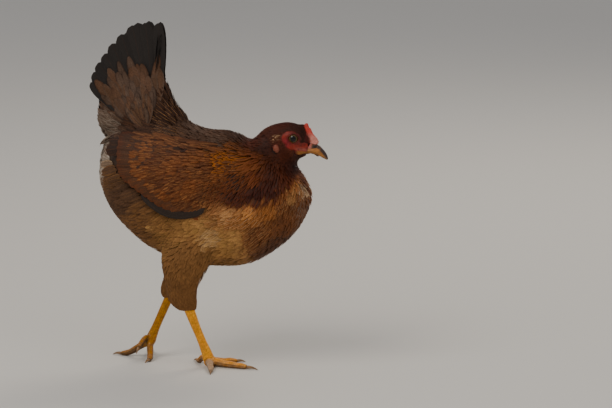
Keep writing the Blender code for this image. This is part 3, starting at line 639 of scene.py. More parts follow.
# ---- Materials ----
class Looks:
    """A material, with short ways to add nodes and to join them to its shader."""

    def __init__(self, name, roughness):
        self.material = bpy.data.materials.new(name)
        self.material.use_nodes = True
        self.nodes, self.links = self.material.node_tree.nodes, self.material.node_tree.links
        self.set({"Roughness": roughness})

    def put(self, socket, value):
        """Gives a socket a number, a few numbers, or another node's output."""
        if isinstance(value, bpy.types.NodeSocket):
            self.links.new(value, socket)
        elif isinstance(value, tuple) and len(value) < len(socket.default_value):
            socket.default_value = (*value, 1.0)
        else:
            socket.default_value = value

    def set(self, values):
        for name, value in values.items():
            self.put(self.nodes["Principled BSDF"].inputs[name], value)

    def add(self, kind, values):
        node = self.nodes.new("ShaderNode" + kind)
        for name, value in values.items():
            self.put(node.inputs[name], value)
        return node

    def maths(self, operation, *values):
        node = self.nodes.new("ShaderNodeMath")
        node.operation = operation
        for socket, value in zip(node.inputs, values):
            self.put(socket, value)
        return node.outputs[0]

    def mixed(self, share, first, second, blend="MIX"):
        node = self.nodes.new("ShaderNodeMix")
        node.data_type = "RGBA"
        node.blend_type = blend
        for name, value in (("Factor", share), ("A", first), ("B", second)):
            self.put(node.inputs[name], value)
        return node.outputs["Result"]

    def ramp(self, value, *stops):
        """A colour ramp of a value, from stops of (position, colour or grey level)."""
        node = self.nodes.new("ShaderNodeValToRGB")
        elements = node.color_ramp.elements
        while len(elements) > 1:
            elements.remove(elements[-1])
        for number, (position, colour) in enumerate(stops):
            element = elements[0] if number == 0 else elements.new(position)
            element.position = position
            element.color = (*(colour if isinstance(colour, tuple) else (colour,) * 3), 1.0)
        self.put(node.inputs["Fac"], value)
        return node.outputs["Color"]

    def shaded(self, colour, value, *stops):
        """A colour times a ramp of a value."""
        return self.mixed(1.0, colour, self.ramp(value, *stops), "MULTIPLY")

    def attribute(self, name, output="Color"):
        node = self.nodes.new("ShaderNodeAttribute")
        node.attribute_name = name
        return node.outputs[output]

    def noise(self, scale, detail, stretch=(1.0, 1.0, 1.0)):
        """Noise that is fixed to the object, its scale in features to the metre."""
        place = self.nodes.new("ShaderNodeTexCoord").outputs["Object"]
        mapping = self.add("Mapping", {"Scale": stretch, "Vector": place})
        values = {"Scale": scale, "Detail": detail, "Vector": mapping.outputs["Vector"]}
        return self.add("TexNoise", values).outputs["Fac"]

    def bump(self, height, strength):
        values = {"Strength": strength, "Distance": BUMP_DEPTH, "Height": height}
        self.set({"Normal": self.add("Bump", values).outputs["Normal"]})


def feather_material(name, roughness, barbs, streak, lacing, stipple, specular):
    """Vane colours from each feather's own centre, edge and shaft colours and its Vane map."""
    looks = Looks(name, roughness)
    vane = looks.nodes.new("ShaderNodeUVMap")
    vane.uv_map = "Vane"
    parts = looks.add("SeparateXYZ", {"Vector": vane.outputs["UV"]}).outputs
    across, along = parts["X"], parts["Y"]
    vary = looks.attribute("vary", "Fac")
    off_shaft = looks.maths("ABSOLUTE", looks.maths("MULTIPLY_ADD", across, 2.0, -1.0))
    # Barbs run out and forward from the shaft, and the noise that parts them follows them
    phase = looks.maths("MULTIPLY_ADD", off_shaft, -0.35, along)
    place = looks.add("CombineXYZ", {"X": looks.maths("MULTIPLY", across, 2.4),
                                     "Y": looks.maths("MULTIPLY", phase, 0.6 * barbs),
                                     "Z": looks.maths("MULTIPLY", vary, 91.0)})
    values = {"Scale": 1.0, "Detail": 3.0, "Vector": place.outputs["Vector"]}
    split = looks.add("TexNoise", values).outputs["Fac"]
    # The edge colour lies near the rim and the tip
    tipped = looks.maths("MULTIPLY", looks.maths("POWER", along, 3.0), 0.75)
    rim = looks.maths("MAXIMUM", off_shaft, tipped)
    rim = looks.maths("ADD", rim, looks.maths("MULTIPLY_ADD", split, 0.9, -0.45))
    edged = looks.ramp(rim, (lacing[0], 0.0), (lacing[1], 1.0))
    colour = looks.mixed(edged, looks.attribute("centre"), looks.attribute("edge"))
    line = looks.ramp(off_shaft, (0.0, 0.9), (streak * 0.5, 0.7), (streak, 0.0))
    colour = looks.mixed(line, colour, looks.attribute("shaft"))
    wave = looks.maths("SINE", looks.maths("MULTIPLY", phase, BARB_TURN * barbs))
    wave = looks.maths("MULTIPLY_ADD", wave, 0.20, split)
    colour = looks.shaded(colour, wave, (0.15, 0.66), (0.85, 1.32))
    # Each feather's own lightness, and a fine stipple
    colour = looks.shaded(colour, vary, (0.0, 0.64), (1.0, 1.38))
    speck = looks.noise(700.0, 3.0)
    colour = looks.shaded(colour, speck, (0.40, 1.0 - stipple), (0.60, 1.0 + stipple))
    looks.set({"Base Color": colour, "Specular IOR Level": specular})
    looks.bump(wave, 0.35)
    return looks.material


def skin_material():
    """Bare skin, scales and the ground colour under the feathers (darkened as painted shade), from the
    skin's own colours.
    """
    looks = Looks("hen_skin", 0.5)
    grain = looks.noise(1500.0, 4.0)
    colour = looks.shaded(looks.attribute("hue"), grain, (0.3, 0.80), (0.7, 1.18))
    colour = looks.shaded(colour, looks.noise(260.0, 3.0), (0.35, 0.78), (0.65, 1.15))
    rough = looks.maths("MULTIPLY_ADD", looks.attribute("gloss", "Fac"), -0.28, 0.50)
    rough = looks.maths("MULTIPLY_ADD", grain, 0.12, rough)
    looks.set({"Base Color": colour, "Roughness": rough, "Specular IOR Level": 0.25,
               "Subsurface Weight": 0.06, "Subsurface Radius": (0.003, 0.001, 0.0006)})
    looks.bump(grain, 0.4)
    return looks.material


def horn_material(name, roughness):
    looks = Looks(name, roughness)
    grain = looks.noise(500.0, 4.0, (0.35, 1.0, 1.0))
    colour = looks.shaded(looks.attribute("hue"), grain, (0.3, 0.75), (0.7, 1.20))
    looks.set({"Base Color": colour, "Coat Weight": 0.20, "Coat Roughness": 0.30})
    looks.bump(grain, 0.3)
    return looks.material


def eye_material():
    """Black pupil, streaked olive iris and dark rim, by the distance from the eye's axis."""
    looks = Looks("hen_eye", 0.10)
    ring = looks.attribute("ring", "Fac")
    moved = looks.maths("MULTIPLY_ADD", looks.noise(1300.0, 3.0), 0.10, ring)
    looks.set({"Base Color": looks.ramp(moved, *EYE_BANDS), "Specular IOR Level": 0.15,
               "Coat Weight": 0.35, "Coat Roughness": 0.02})
    return looks.material


# ---- Attributes ----
def set_colour(mesh, name, values):
    """A colour at each vertex."""
    layer = mesh.attributes.new(name, "FLOAT_COLOR", "POINT")
    values = np.hstack([values, np.ones((len(values), 1))])
    layer.data.foreach_set("color", values.astype(np.float32).ravel())


def set_value(mesh, name, values):
    layer = mesh.attributes.new(name, "FLOAT", "POINT")
    layer.data.foreach_set("value", np.asarray(values, np.float32))


# ---- Feathers from arrays ----
def vane_faces(rows, columns):
    """The faces of one feather: a root point, rows of top points with one point under each row,
    and a tip point."""
    per_row = columns + 1
    tip, last = 1 + rows * per_row, 1 + (rows - 1) * per_row
    under = [0, columns, columns - 1]
    strips = [(side, side + 1) for side in range(columns - 1)]
    triangles, squares = [], []
    for left, right in strips + [(b, a) for a, b in zip(under, under[1:])]:
        triangles.append((0, 1 + left, 1 + right))
        triangles.append((tip, last + right, last + left))
        for row in range(rows - 1):
            here, after = 1 + row * per_row, 1 + (row + 1) * per_row
            squares.append((here + left, after + left, after + right, here + right))
    return np.array(triangles), np.array(squares)


def stations_of(count):
    """Shares of a feather's length, closer together towards its tip."""
    return 1 - (1 - np.linspace(0.0, 1.0, count)) ** 1.25


# Outlines of vanes: where they are fullest, how blunt the tip, the width at the root as a share of
# the full width, and how deep the barbs part at the rim
SHAPES = {
    "face": (0.50, 1.9, 0.50, 0.25),
    "hackle": (0.45, 1.40, 0.45, 0.10),
    "contour": (0.56, 1.8, 0.40, 0.14),
    "down": (0.50, 1.5, 0.40, 0.16),
    "covert": (0.62, 2.1, 0.40, 0.10),
    "flight": (0.74, 3.4, 0.60, 0.03),
    "tail": (0.72, 2.5, 0.40, 0.03),
}


def outline(shares, fullest, roundness, base):
    """Half width of a vane, as a share of its greatest, along its length."""
    rising = base + (1 - base) * np.sin(np.clip(shares / fullest, 0, 1) * math.pi / 2)
    falling = np.clip((shares - fullest) / (1 - fullest), 0, 1)
    return rising * np.clip(1 - falling ** roundness, 0, 1) ** (1 / roundness)


def vane_points(shape, lines, normals, widths, rng, columns, thickness, camber):
    """Points of each feather: the root, rows of top points with one under each row, the tip."""
    count, stations, _ = lines.shape
    shares = stations_of(stations)
    fullest, roundness, base, notch = SHAPES[shape]
    forward = unit(np.gradient(lines, axis=1))
    side = unit(np.cross(normals, forward))
    half = outline(shares, fullest, roundness, base)[None, :, None] * widths[:, None, None]
    across = np.linspace(-1.0, 1.0, columns)
    # The rim is toothed: every other row is drawn in and back, deeper towards the tip
    odd = (np.arange(stations)[None, :, None] + rng.integers(0, 2, (count, 1, 2))) % 2
    depth = notch * (0.35 + 0.65 * shares)[None, :, None]
    depth = depth * rng.uniform(0.5, 1.3, (count, stations, 2))
    reach = np.ones((count, stations, columns))
    reach[:, :, [0, -1]] = 1 - depth * odd
    offset = half * across * reach
    rise = thickness * (1 - np.abs(across)) * (1 - 0.5 * shares[None, :, None])
    drop = np.reshape(camber, (-1, 1, 1)) * offset ** 2 + half * 0.08 * np.abs(across)
    back = half * (0.10 + 0.9 * (1 - reach)) * np.abs(across)
    top = (lines[:, :, None] + side[:, :, None] * offset[..., None]
           + normals[:, :, None] * (rise - drop)[..., None] - forward[:, :, None] * back[..., None])
    below = lines - normals * thickness * 0.35
    body = np.concatenate([top[:, 1:-1], below[:, 1:-1, None]], axis=2)
    return np.concatenate([lines[:, :1], body.reshape(count, -1, 3), lines[:, -1:]], axis=1)


def vane_map(stations, columns):
    """Each point's place on a feather's Vane map: across the vane, then from root to tip."""
    across = np.concatenate([(np.linspace(-1.0, 1.0, columns) + 1) / 2, [0.5]])
    along = stations_of(stations)[1:-1]
    body = np.stack([np.tile(across, len(along)), np.repeat(along, columns + 1)], 1)
    return np.concatenate([[[0.5, 0.0]], body, [[0.5, 1.0]]])


def joined_faces(name, points, triangles, squares):
    """A mesh of many feathers with the same faces, and the point at each corner of its faces."""
    count, per, _ = points.shape
    starts = (np.arange(count) * per)[:, None, None]
    corner = np.concatenate([(faces[None] + starts).ravel() for faces in (triangles, squares)])
    sizes = np.repeat([3, 4], [len(triangles) * count, len(squares) * count])
    mesh = bpy.data.meshes.new(name)
    mesh.vertices.add(count * per)
    mesh.vertices.foreach_set("co", points.astype(np.float32).ravel())
    mesh.loops.add(len(corner))
    mesh.loops.foreach_set("vertex_index", corner.astype(np.int32))
    mesh.polygons.add(len(sizes))
    first = np.concatenate([[0], np.cumsum(sizes)[:-1]])
    mesh.polygons.foreach_set("loop_start", first.astype(np.int32))
    mesh.update(calc_edges=True)
    mesh.validate()
    return mesh, corner


def set_map(mesh, name, places):
    layer = mesh.uv_layers.new(name=name)
    layer.data.foreach_set("uv", places.astype(np.float32).ravel())


def feather_mesh(name, shape, lines, normals, widths, places, colours, vary, rng, columns=3,
                 thickness=0.20 * MM, camber=8.0, patch=PATCH):
    """Joined closed vanes. lines and normals are (feathers, stations, 3); widths are half widths;
    places are each feather's place on the OFBake map; colours are (feathers, 3, 3)."""
    count, stations, _ = lines.shape
    points = vane_points(shape, lines, normals, widths, rng, columns, thickness, camber)
    mesh, corner = joined_faces(name, points, *vane_faces(stations - 2, columns))
    local = vane_map(stations, columns)
    set_map(mesh, "Vane", np.tile(local, (count, 1))[corner])
    size = np.broadcast_to(patch, (count, 2))[:, None]
    spread = places[:, None] + (local - 0.5)[None] * size
    set_map(mesh, "OFBake", spread.reshape(-1, 2)[corner])
    mesh.uv_layers["Vane"].active_render = True
    per = points.shape[1]
    for number, layer in enumerate(("centre", "edge", "shaft")):
        set_colour(mesh, layer, np.repeat(colours[:, number], per, axis=0))
    set_value(mesh, "vary", np.repeat(vary, per))
    mesh.shade_smooth()
    mesh.set_sharp_from_angle(angle=SHARP_ANGLE)
    return mesh


def spread_places(places):
    """Map places stretched to fill the whole map."""
    lo, hi = places.min(axis=0), places.max(axis=0)
    return 0.01 + 0.98 * (places - lo) / np.maximum(hi - lo, 1e-9)


FOLLOW = 0.25                    # how fast a feather turns to the lie of the coat under it


def marched(tree, roots, lies, lengths, stations, looseness, depths, tip_rise=0.0):
    """Centre lines that leave the skin at each root, follow the lie along the outer surface and
    reach it at their tips."""
    places, normals = nearest(tree, roots)
    heading = flatten(lies, normals)
    shares = stations_of(stations)
    surface, upright = [places], [normals]
    here, normal = places, normals
    for share in np.diff(shares):
        pace = lengths * share
        guess = here + heading * pace[:, None]
        found, seen = nearest(tree, guess)
        pull = found - guess
        far = np.linalg.norm(pull, axis=1, keepdims=True)
        limit = 0.45 * pace[:, None]
        here = guess + pull * np.minimum(1.0, limit / np.maximum(far, 1e-9))
        held = step(0.0, 1.0, far / (3 * limit + 1e-9))
        normal = unit(seen * (1 - held) + normal * held)
        heading = flatten(heading + FOLLOW * lie_at(here, normal), normal)
        surface.append(here)
        upright.append(normal)
    surface = np.stack(surface, 1)
    upright = np.stack(upright, 1)
    sink = -depths[:, None] * (1 - shares[None]) ** 1.3
    loose = (looseness[:, None] * 0.16 * lengths[:, None] + tip_rise) * shares[None] ** 2.2
    return surface + upright * (sink + loose)[..., None], upright


CROWD = 4.0                      # places tried for each one that there is room for
CLOSEST = 0.86                   # how near two places may be, as a share of the spacing
CELL = 3.0 * MM                  # size of the cells that the kept places are looked up by


def random_places(tris, chance, tries, rng):
    """Random places on triangles, their triangle, and their shares of its corners."""
    picked = rng.choice(len(tris), tries, p=chance / chance.sum())
    a, b = rng.random(tries), rng.random(tries)
    over = a + b > 1
    a, b = np.where(over, 1 - a, a), np.where(over, 1 - b, b)
    shares = np.stack([1 - a - b, a, b], 1)
    return (tris[picked] * shares[:, :, None]).sum(1), picked, shares


def kept_near(cells, key, reach):
    """The places kept so far in the cells round one cell."""
    span = range(-reach, reach + 1)
    for i, j, k in product(span, span, span):
        yield from cells.get((key[0] + i, key[1] + j, key[2] + k), ())


def scattered(tris, spacing, weight, rng):
    """Places scattered over triangles at their own local spacing, with the triangle of each."""
    areas = np.linalg.norm(np.cross(tris[:, 1] - tris[:, 0], tris[:, 2] - tris[:, 0]), axis=1) / 2
    chance = areas * weight / spacing ** 2
    points, picked, shares = random_places(tris, chance, int(CROWD * chance.sum()), rng)
    keys = np.floor(points / CELL).astype(int).tolist()
    gaps = spacing[picked] * CLOSEST
    reach = np.ceil(gaps / CELL).astype(int).tolist()
    cells, kept = {}, []
    for number, (x, y, z) in enumerate(points.tolist()):
        gap = gaps[number] ** 2
        if all((u - x) ** 2 + (v - y) ** 2 + (w - z) ** 2 >= gap
               for u, v, w in kept_near(cells, keys[number], reach[number])):
            cells.setdefault(tuple(keys[number]), []).append((x, y, z))
            kept.append(number)
    return points[kept], picked[kept], shares[kept]


def triangles_of(mesh):
    mesh.calc_loop_triangles()
    found = np.empty(len(mesh.loop_triangles) * 3, np.int32)
    mesh.loop_triangles.foreach_get("vertices", found)
    loops = np.empty(len(mesh.loop_triangles) * 3, np.int32)
    mesh.loop_triangles.foreach_get("loops", loops)
    return found.reshape(-1, 3), loops.reshape(-1, 3)


def unwrapped(mesh):
    """The mesh's own unwrap, a place for each corner of each triangle."""
    thing = made("unwrap", mesh)
    bpy.context.view_layer.objects.active = thing
    thing.select_set(True)
    bpy.ops.object.mode_set(mode="EDIT")
    bpy.ops.mesh.select_all(action="SELECT")
    bpy.ops.uv.smart_project(angle_limit=math.radians(66), island_margin=0.004)
    bpy.ops.object.mode_set(mode="OBJECT")
    found = np.empty(len(mesh.loops) * 2, np.float32)
    mesh.uv_layers.active.data.foreach_get("uv", found)
    bpy.data.objects.remove(thing)
    return found.reshape(-1, 2)


def piece(name, mesh, material, replaced=()):
    """A finished piece of the bird, which stands for the CAD nodes that it replaces."""
    mesh.materials.append(material)
    thing = made(name, mesh)
    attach(thing, "root")
    if replaced:
        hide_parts(*replaced)


# ---- Skin ----
HEAD_NODES = ("head", "comb", "earlobe_left", "earlobe_right", "wattle_left", "wattle_right")
# The nodes that the skin replaces, besides the toes. The wings are among them, because the feathers
# that lie over them replace none.
FLESH = ("trunk", "neck", "head", "tail_base", "thigh_left", "thigh_right", "shank_left",
         "shank_right", *HEAD_NODES[1:], "wing_left", "wing_right")

RED_SKIN = np.array([0.240, 0.024, 0.013])
DARK_RED = np.array([0.090, 0.012, 0.008])
MAGENTA = np.array([0.230, 0.014, 0.024])
COMB_RED = np.array([0.480, 0.050, 0.035])
PALE_PINK = np.array([0.600, 0.220, 0.170])
LOBE_PINK = np.array([0.200, 0.055, 0.030])
GAPE_OCHRE = np.array([0.300, 0.115, 0.020])
SCALE_YELLOW = np.array([1.000, 0.430, 0.004])
SCALE_OCHRE = np.array([0.780, 0.250, 0.004])
SCALE_BROWN = np.array([0.260, 0.080, 0.004])
TOE_OCHRE = np.array([0.800, 0.300, 0.012])
# Painted shade: the brown that the toes turn where they face down
TOE_PAINTED_SHADE = np.array([0.120, 0.062, 0.024])
DUST = np.array([0.340, 0.270, 0.200])
LEG_PAINTED_SHADE = {"left": 0.50, "right": 1.0}      # painted shade: the far leg's colours are darkened


def fine_noise(points, scale, seed=0.0):
    """Perlin noise from -1 to 1 at each point, with features of about 1 / scale metres."""
    return np.array([noise.noise(Vector(point)) for point in (points * scale + seed).tolist()])


def cell_edge(points, scale):
    """0 on the borders of irregular cells, rising to about 1 at their middles."""
    found = []
    for point in (points * scale).tolist():
        distances = noise.voronoi(Vector(point))[0]
        found.append(distances[1] - distances[0])
    return np.clip(np.array(found) * 2.2, 0.0, 1.0)


def sunk_head(points, normals, bare):
    """The head's points, sunk by the coat's depth where feathers grow. Where it meets the neck the
    head shrinks toward its middle, so that its rim stays inside."""
    joint = step(0.0, 0.4, within(points, "neck", 6 * MM))
    toward = unit(at("head", 0.5, 0.0, 0.5) - points)
    inward = unit(toward * joint[:, None] - normals * (1 - joint)[:, None])
    depth = np.minimum(coat_depth(points), 3.5 * MM) + 2.5 * MM * joint
    lips = within(points, "bill_upper", 1.6 * MM) * 0.55 * MM
    return points + inward * ((1 - bare) * depth)[:, None] + normals * (bare * lips)[:, None]


def hump(value, middle, width):
    """1 at the middle, falling to 0 within about two widths on each side."""
    return np.exp(-((value - middle) / width) ** 2)


def eye_ring(forward, upward):
    """Distance from the eye's middle, 1 at the rim of the lids, and the product of the lids' half
    width and half height there."""
    wide = np.where(forward > 0, 6.1, 5.8) * MM
    high = np.where(upward > 0, 4.3, 4.6) * MM
    return np.hypot(forward / wide, upward / high), wide * high


def orbit(points, side, bare):
    """The head's points, moved along one eye's axis to form its orbit, lids and wrinkles."""
    axis = EYE[side][1]
    forward, upward, outward = round_eye(points, side)
    ring, opening = eye_ring(forward, upward)
    ball = np.sqrt(np.maximum(EYE_RADIUS ** 2 - forward ** 2 - upward ** 2, 0))
    near = (outward > 0) & (points[:, 1] * SIDES[side] > 0) & (ring < 2.4)
    rim = step(0.93, 1.04, ring)
    lid = hump(ring, 1.14, 0.11) * np.where(upward > 0, 0.85, 0.6) * MM
    fold = hump(ring, 1.44, 0.09) * 0.30 * MM
    groove = hump(ring, 1.30, 0.05) * 0.45 * MM
    edge_height = np.sqrt(np.maximum(EYE_RADIUS ** 2 - opening, 0)) + 0.1 * MM
    dish = edge_height + (outward - edge_height) * step(1.05, 1.90, ring)
    lowered = np.where(ring < 0.96, np.minimum(outward, ball - 1.4 * MM),
                       dish + rim * (lid + fold - groove))
    hidden = (outward < ball - 2.5 * MM) & (ring < 1.0)
    change = np.where(near & ~hidden, lowered - outward, 0.0)
    points = points + axis * change[:, None]
    wrinkle = np.sin(ring * 24 + 2.6 * fine_noise(points, 260)) * 0.14 * MM
    fade = np.where(near, step(1.2, 1.5, ring) * (1 - step(2.2, 2.4, ring)) * bare, 0)
    return points + axis * (wrinkle * fade)[:, None]


def face_hue(points, forward, upward):
    """Colours of the bare skin round one eye and down to the gape."""
    ring, _ = eye_ring(forward, upward)
    angle = np.arctan2(upward, forward)
    hue = blended(RED_SKIN, DARK_RED, step(0.1, 0.9, np.cos(angle - 1.1)))
    hue = blended(hue, MAGENTA, 0.8 * step(0.7, 1.0, np.cos(angle + 2.5)))
    hue = hue * (0.55 + 0.45 * step(1.15, 1.6, ring))[:, None] * np.array([1.0, 0.86, 0.74])
    pale = hump(upward, -11.5 * MM, 1.9 * MM) * step(0.0, 9.0 * MM, forward)
    hue = blended(hue, PALE_PINK * 0.60, 0.45 * pale)
    lore = np.exp(-((forward - 9.5 * MM) / (5.5 * MM)) ** 2 - ((upward + 4.0 * MM) / (3.6 * MM)) ** 2)
    mottled = 0.45 * step(-0.1, 0.4, fine_noise(points, 420, 7.0))
    hue = blended(hue, DARK_RED * 0.9, np.clip(0.75 * lore + mottled, 0, 1))
    gape = blended(GAPE_OCHRE, DARK_RED, 1 - step(3.5 * MM, 9.0 * MM, forward))
    gape = blended(gape, DARK_RED * 0.6, 1 - step(-19.0 * MM, -17.6 * MM, upward))
    return blended(hue, gape, 1 - step(-14.8 * MM, -13.2 * MM, upward))


def comb_skin(points, normals, hue):
    """The comb's red blade with its pale foot, partly a painted highlight, rounded crown and fine warts."""
    inside = step(0.3, 0.8, within(points, "comb", 0.8 * MM)) * comb_front(points)
    share = shares_of("comb", points)[:, 2]
    # The foot is pale pink: partly the comb's colour, partly a painted highlight
    hue = blended(hue, blended(PALE_PINK, COMB_RED, step(0.30, 0.60, share)), inside)
    crown = at("comb", 0.36, 0.0, 1.0)[0]
    rounding = ((points[:, 0] - crown) / (2.6 * MM)) ** 2 * step(0.72, 0.98, share) * inside
    points[:, 2] -= np.clip(rounding, 0, 1.4) * 1.6 * MM
    papillae = (cell_edge(points, 700) - 0.5) * inside
    return points + normals * (papillae * 0.35 * MM)[:, None], hue


def lobe_skin(points, normals, hue):
    """Creased earlobes, and wattles drawn up toward their roots."""
    for side in SIDES:
        for node, colour, scale in (("earlobe_", LOBE_PINK, 0.5), ("wattle_", DARK_RED, 0.3)):
            inside = step(0.15, 0.8, within(points, node + side, 0.9 * MM))
            hue = blended(hue, colour, inside)
            crease = fine_noise(points, 900, 5.0) * inside * scale * 0.5 * MM
            points = points + normals * crease[:, None]
            if node == "wattle_":
                points = blended(points, at("wattle_" + side, 0.5, 0.0, 1.0), 0.65 * inside)
    return points, hue


def head_skin():
    """The head with its eyes' orbits and lids, comb, wattles and lobes."""
    mesh = fused("head_skin", HEAD_NODES, HEAD_VOXEL, 3)
    points, normals = coordinates(mesh), vertex_normals(mesh)
    bare = bare_face(points)
    points = sunk_head(points, normals, bare)
    # Under the feathers the skin takes the marking's colour, darkened as painted shade, with some dark red
    hue = marking(points)[:, 0] * 0.6 + DARK_RED * 0.5
    hue = blended(hue, RED_SKIN * 0.5, 0.5 * bare)
    for side, sign in SIDES.items():
        forward, upward, _ = round_eye(points, side)
        points = orbit(points, side, bare)
        own_side = points[:, 1] * sign > 0
        front = 0.8 * step(8 * MM, 14 * MM, forward) * (1 - step(6 * MM, 12 * MM, upward))
        hue = blended(hue, DARK_RED * 0.7, front * own_side)
        shown = own_side * np.clip(2.0 * bare, 0, 1)
        hue = blended(hue, face_hue(points, forward, upward), shown)
    points, hue = comb_skin(points, normals, hue)
    points, hue = lobe_skin(points, normals, hue)
    bumps = fine_noise(points, 1100) * 0.10 * MM + fine_noise(points, 500, 3.0) * 0.16 * MM
    move_to(mesh, points + normals * (bumps * bare)[:, None])
    return mesh, hue, 0.35 * bare


def centre_line(node, steps=9):
    """The middle line of a limb node, from its upper or inner end outwards."""
    points = coordinates(fused(node + "_shape", [node], 1.0 * MM, 0))
    middle = points.mean(axis=0)
    axis = np.linalg.svd(points - middle, full_matrices=False)[2][0]
    along = (points - middle) @ axis
    levels = np.linspace(along.min(), along.max(), steps)
    reach = (levels[1] - levels[0]) * 0.6
    line = np.array([points[np.abs(along - level) < reach].mean(axis=0) for level in levels])
    line += axis * (levels - (line - middle) @ axis)[:, None]
    return line


def on_line(points, line):
    """Distance along a line and from it, the line's place nearest each point, its direction there."""
    count = len(points)
    best, along = np.full(count, np.inf), np.zeros(count)
    spot, heading = np.zeros((count, 3)), np.zeros((count, 3))
    travelled = 0.0
    for start, end in zip(line, line[1:]):
        span = end - start
        length = np.linalg.norm(span)
        share = np.clip((points - start) @ span / length ** 2, 0, 1)
        place = start + share[:, None] * span
        gap = np.linalg.norm(points - place, axis=1)
        closer = gap < best
        best = np.where(closer, gap, best)
        along = np.where(closer, travelled + share * length, along)
        spot = np.where(closer[:, None], place, spot)
        heading = np.where(closer[:, None], span / length, heading)
        travelled += length
    return along, best, spot, heading


def scutes(along, turn, radius, tall, span):
    """Rows of overlapping plates: 0 in their grooves, 1 on their faces. turn is the angle from the
    front of the limb, and a plate covers span of it."""
    column = np.floor(turn / span)
    shifted = along / tall + 0.5 * (column % 2)
    phase = shifted - np.floor(shifted)
    sideways = turn / span - column
    to_end = np.minimum(phase, 1 - phase) * tall
    to_side = np.minimum(sideways, 1 - sideways) * span * radius
    gap = np.minimum(to_end, to_side)
    return step(0.0, 0.42 * MM, gap) * (0.75 + 0.25 * phase)


def limb_scales(along, turn, radius, shank):
    """Scales of a shank, or of a toe: broad plates in front or on top, small ones elsewhere."""
    if shank:
        big = scutes(along, turn, radius, 4.4 * MM, math.radians(64))
        small = scutes(along, turn, radius, 2.6 * MM, math.radians(32))
        rear = scutes(along, turn, radius, 3.6 * MM, math.radians(45))
        found = np.where(np.abs(turn) < math.radians(64), big, small * 0.85)
        return np.where(np.abs(turn) > math.radians(135), rear, found)
    big = scutes(along, turn + math.radians(75), radius, 2.6 * MM, math.radians(150))
    small = scutes(along, turn, radius, 1.5 * MM, math.radians(30))
    return np.where(np.abs(turn) < math.radians(75), big, small * 0.8)


def leg_plates(points, nodes):
    """How high the scales stand at each point, and how far it belongs to the toes. The shank is
    the first node."""
    best = np.full(len(points), np.inf)
    plates = np.zeros(len(points))
    for node in nodes:
        shank = node == nodes[0]
        line = centre_line(node)
        if line[0][2] < line[-1][2]:
            line = line[::-1]
        along, gap, spot, heading = on_line(points, line)
        front = np.array([1.0, 0.0, 0.35]) if shank else np.array([0.0, 0.0, 1.0])
        front = flatten(np.broadcast_to(front, heading.shape), heading)
        across = np.cross(heading, front)
        out = unit(points - spot)
        turn = np.arctan2((out * across).sum(1), (out * front).sum(1))
        found = limb_scales(along, turn, np.maximum(gap, 2.0 * MM), shank)
        closer = gap < best
        best = np.where(closer, gap, best)
        plates = np.where(closer, found, plates)
        if shank:
            shank_gap = gap
    return plates, step(-1.0 * MM, 5.0 * MM, shank_gap - best)


def leg_hue(points, normals, plates, toe_share, first_toe, shade):
    """Colours of a leg, and how dusty it is: the toes are ochre above and turn brown below as painted
    shade, the first toe is the dustiest, and the far leg is darkened all over by painted shade."""
    worn = np.clip(0.5 + 0.6 * fine_noise(points, 90), 0, 1)
    hue = blended(SCALE_YELLOW, SCALE_OCHRE, worn * 0.5)
    hue = blended(hue, SCALE_BROWN, (1 - np.clip(plates, 0, 1)) * 0.55)
    # Painted shade: the toes turn brown where their surface faces down
    tone = blended(TOE_OCHRE, TOE_PAINTED_SHADE, 0.75 * (1 - step(-0.3, 0.6, normals[:, 2])))
    tone = tone * (0.45 + 0.55 * np.clip(plates, 0, 1))[:, None]
    hue = blended(hue, tone, toe_share)
    dust = step(0.3, 0.8, 0.5 + 0.5 * fine_noise(points, 160, 4.0)) * toe_share * 0.25
    dust = np.maximum(dust, 0.75 * step(0.2, 0.8, within(points, first_toe, 1 * MM)) * toe_share)
    # Painted shade: the far leg's colours are multiplied down
    return blended(hue, DUST, dust) * shade, dust


def leg_skin(side):
    """A shank that reaches up into the thigh's feathers, and its toes, with their scales."""
    nodes = ["shank_" + side] + [f"toe_{toe}_{side}" for toe in TOES]
    mesh = fused("leg_skin_" + side, nodes, LEG_VOXEL, 4)
    toes = np.max([within(coordinates(mesh), toe, 6 * MM) for toe in nodes[1:]], axis=0)
    joint = toes * within(coordinates(mesh), nodes[0], 6 * MM)
    relaxed(mesh, step(0.1, 0.5, joint), 40)
    points, normals = coordinates(mesh), vertex_normals(mesh)
    line = centre_line(nodes[0])
    upward = unit(line[0] - line[-1]) * np.sign(line[0][2] - line[-1][2])
    below = (points @ upward).max() - points @ upward
    high = 1 - step(9.0 * MM, 26.0 * MM, below)
    points = points + (13 * MM * high)[:, None] * upward
    plates, toe_share = leg_plates(points, nodes)
    settled = step(0.4 * MM, 1.6 * MM, points[:, 2])
    points = points + normals * ((plates - 0.6) * 0.42 * MM * settled)[:, None]
    points[:, 2] = np.maximum(points[:, 2], 0.0)
    move_to(mesh, points)
    hue, dust = leg_hue(points, vertex_normals(mesh), plates, toe_share, nodes[3], LEG_PAINTED_SHADE[side])
    return mesh, hue, 1.0 - 0.9 * dust


def body_skin(outer):
    """The trunk, sunk below the outer surface by the coat's depth."""
    mesh = outer.copy()
    points, normals = coordinates(mesh), vertex_normals(mesh)
    depth = coat_depth(points) + 1.0 * MM
    thing = made("body_skin", mesh)
    move_to(mesh, points - normals * depth[:, None])
    softened(thing, 6)
    fewer = thing.modifiers.new("fewer", "DECIMATE")
    fewer.ratio = 0.5
    mesh = evaluated(thing, "body_skin")
    points = coordinates(mesh)
    # The skin under the coat takes the marking's colour, darkened as painted shade
    return mesh, marking(points)[:, 0] * 0.55, np.zeros(len(points))


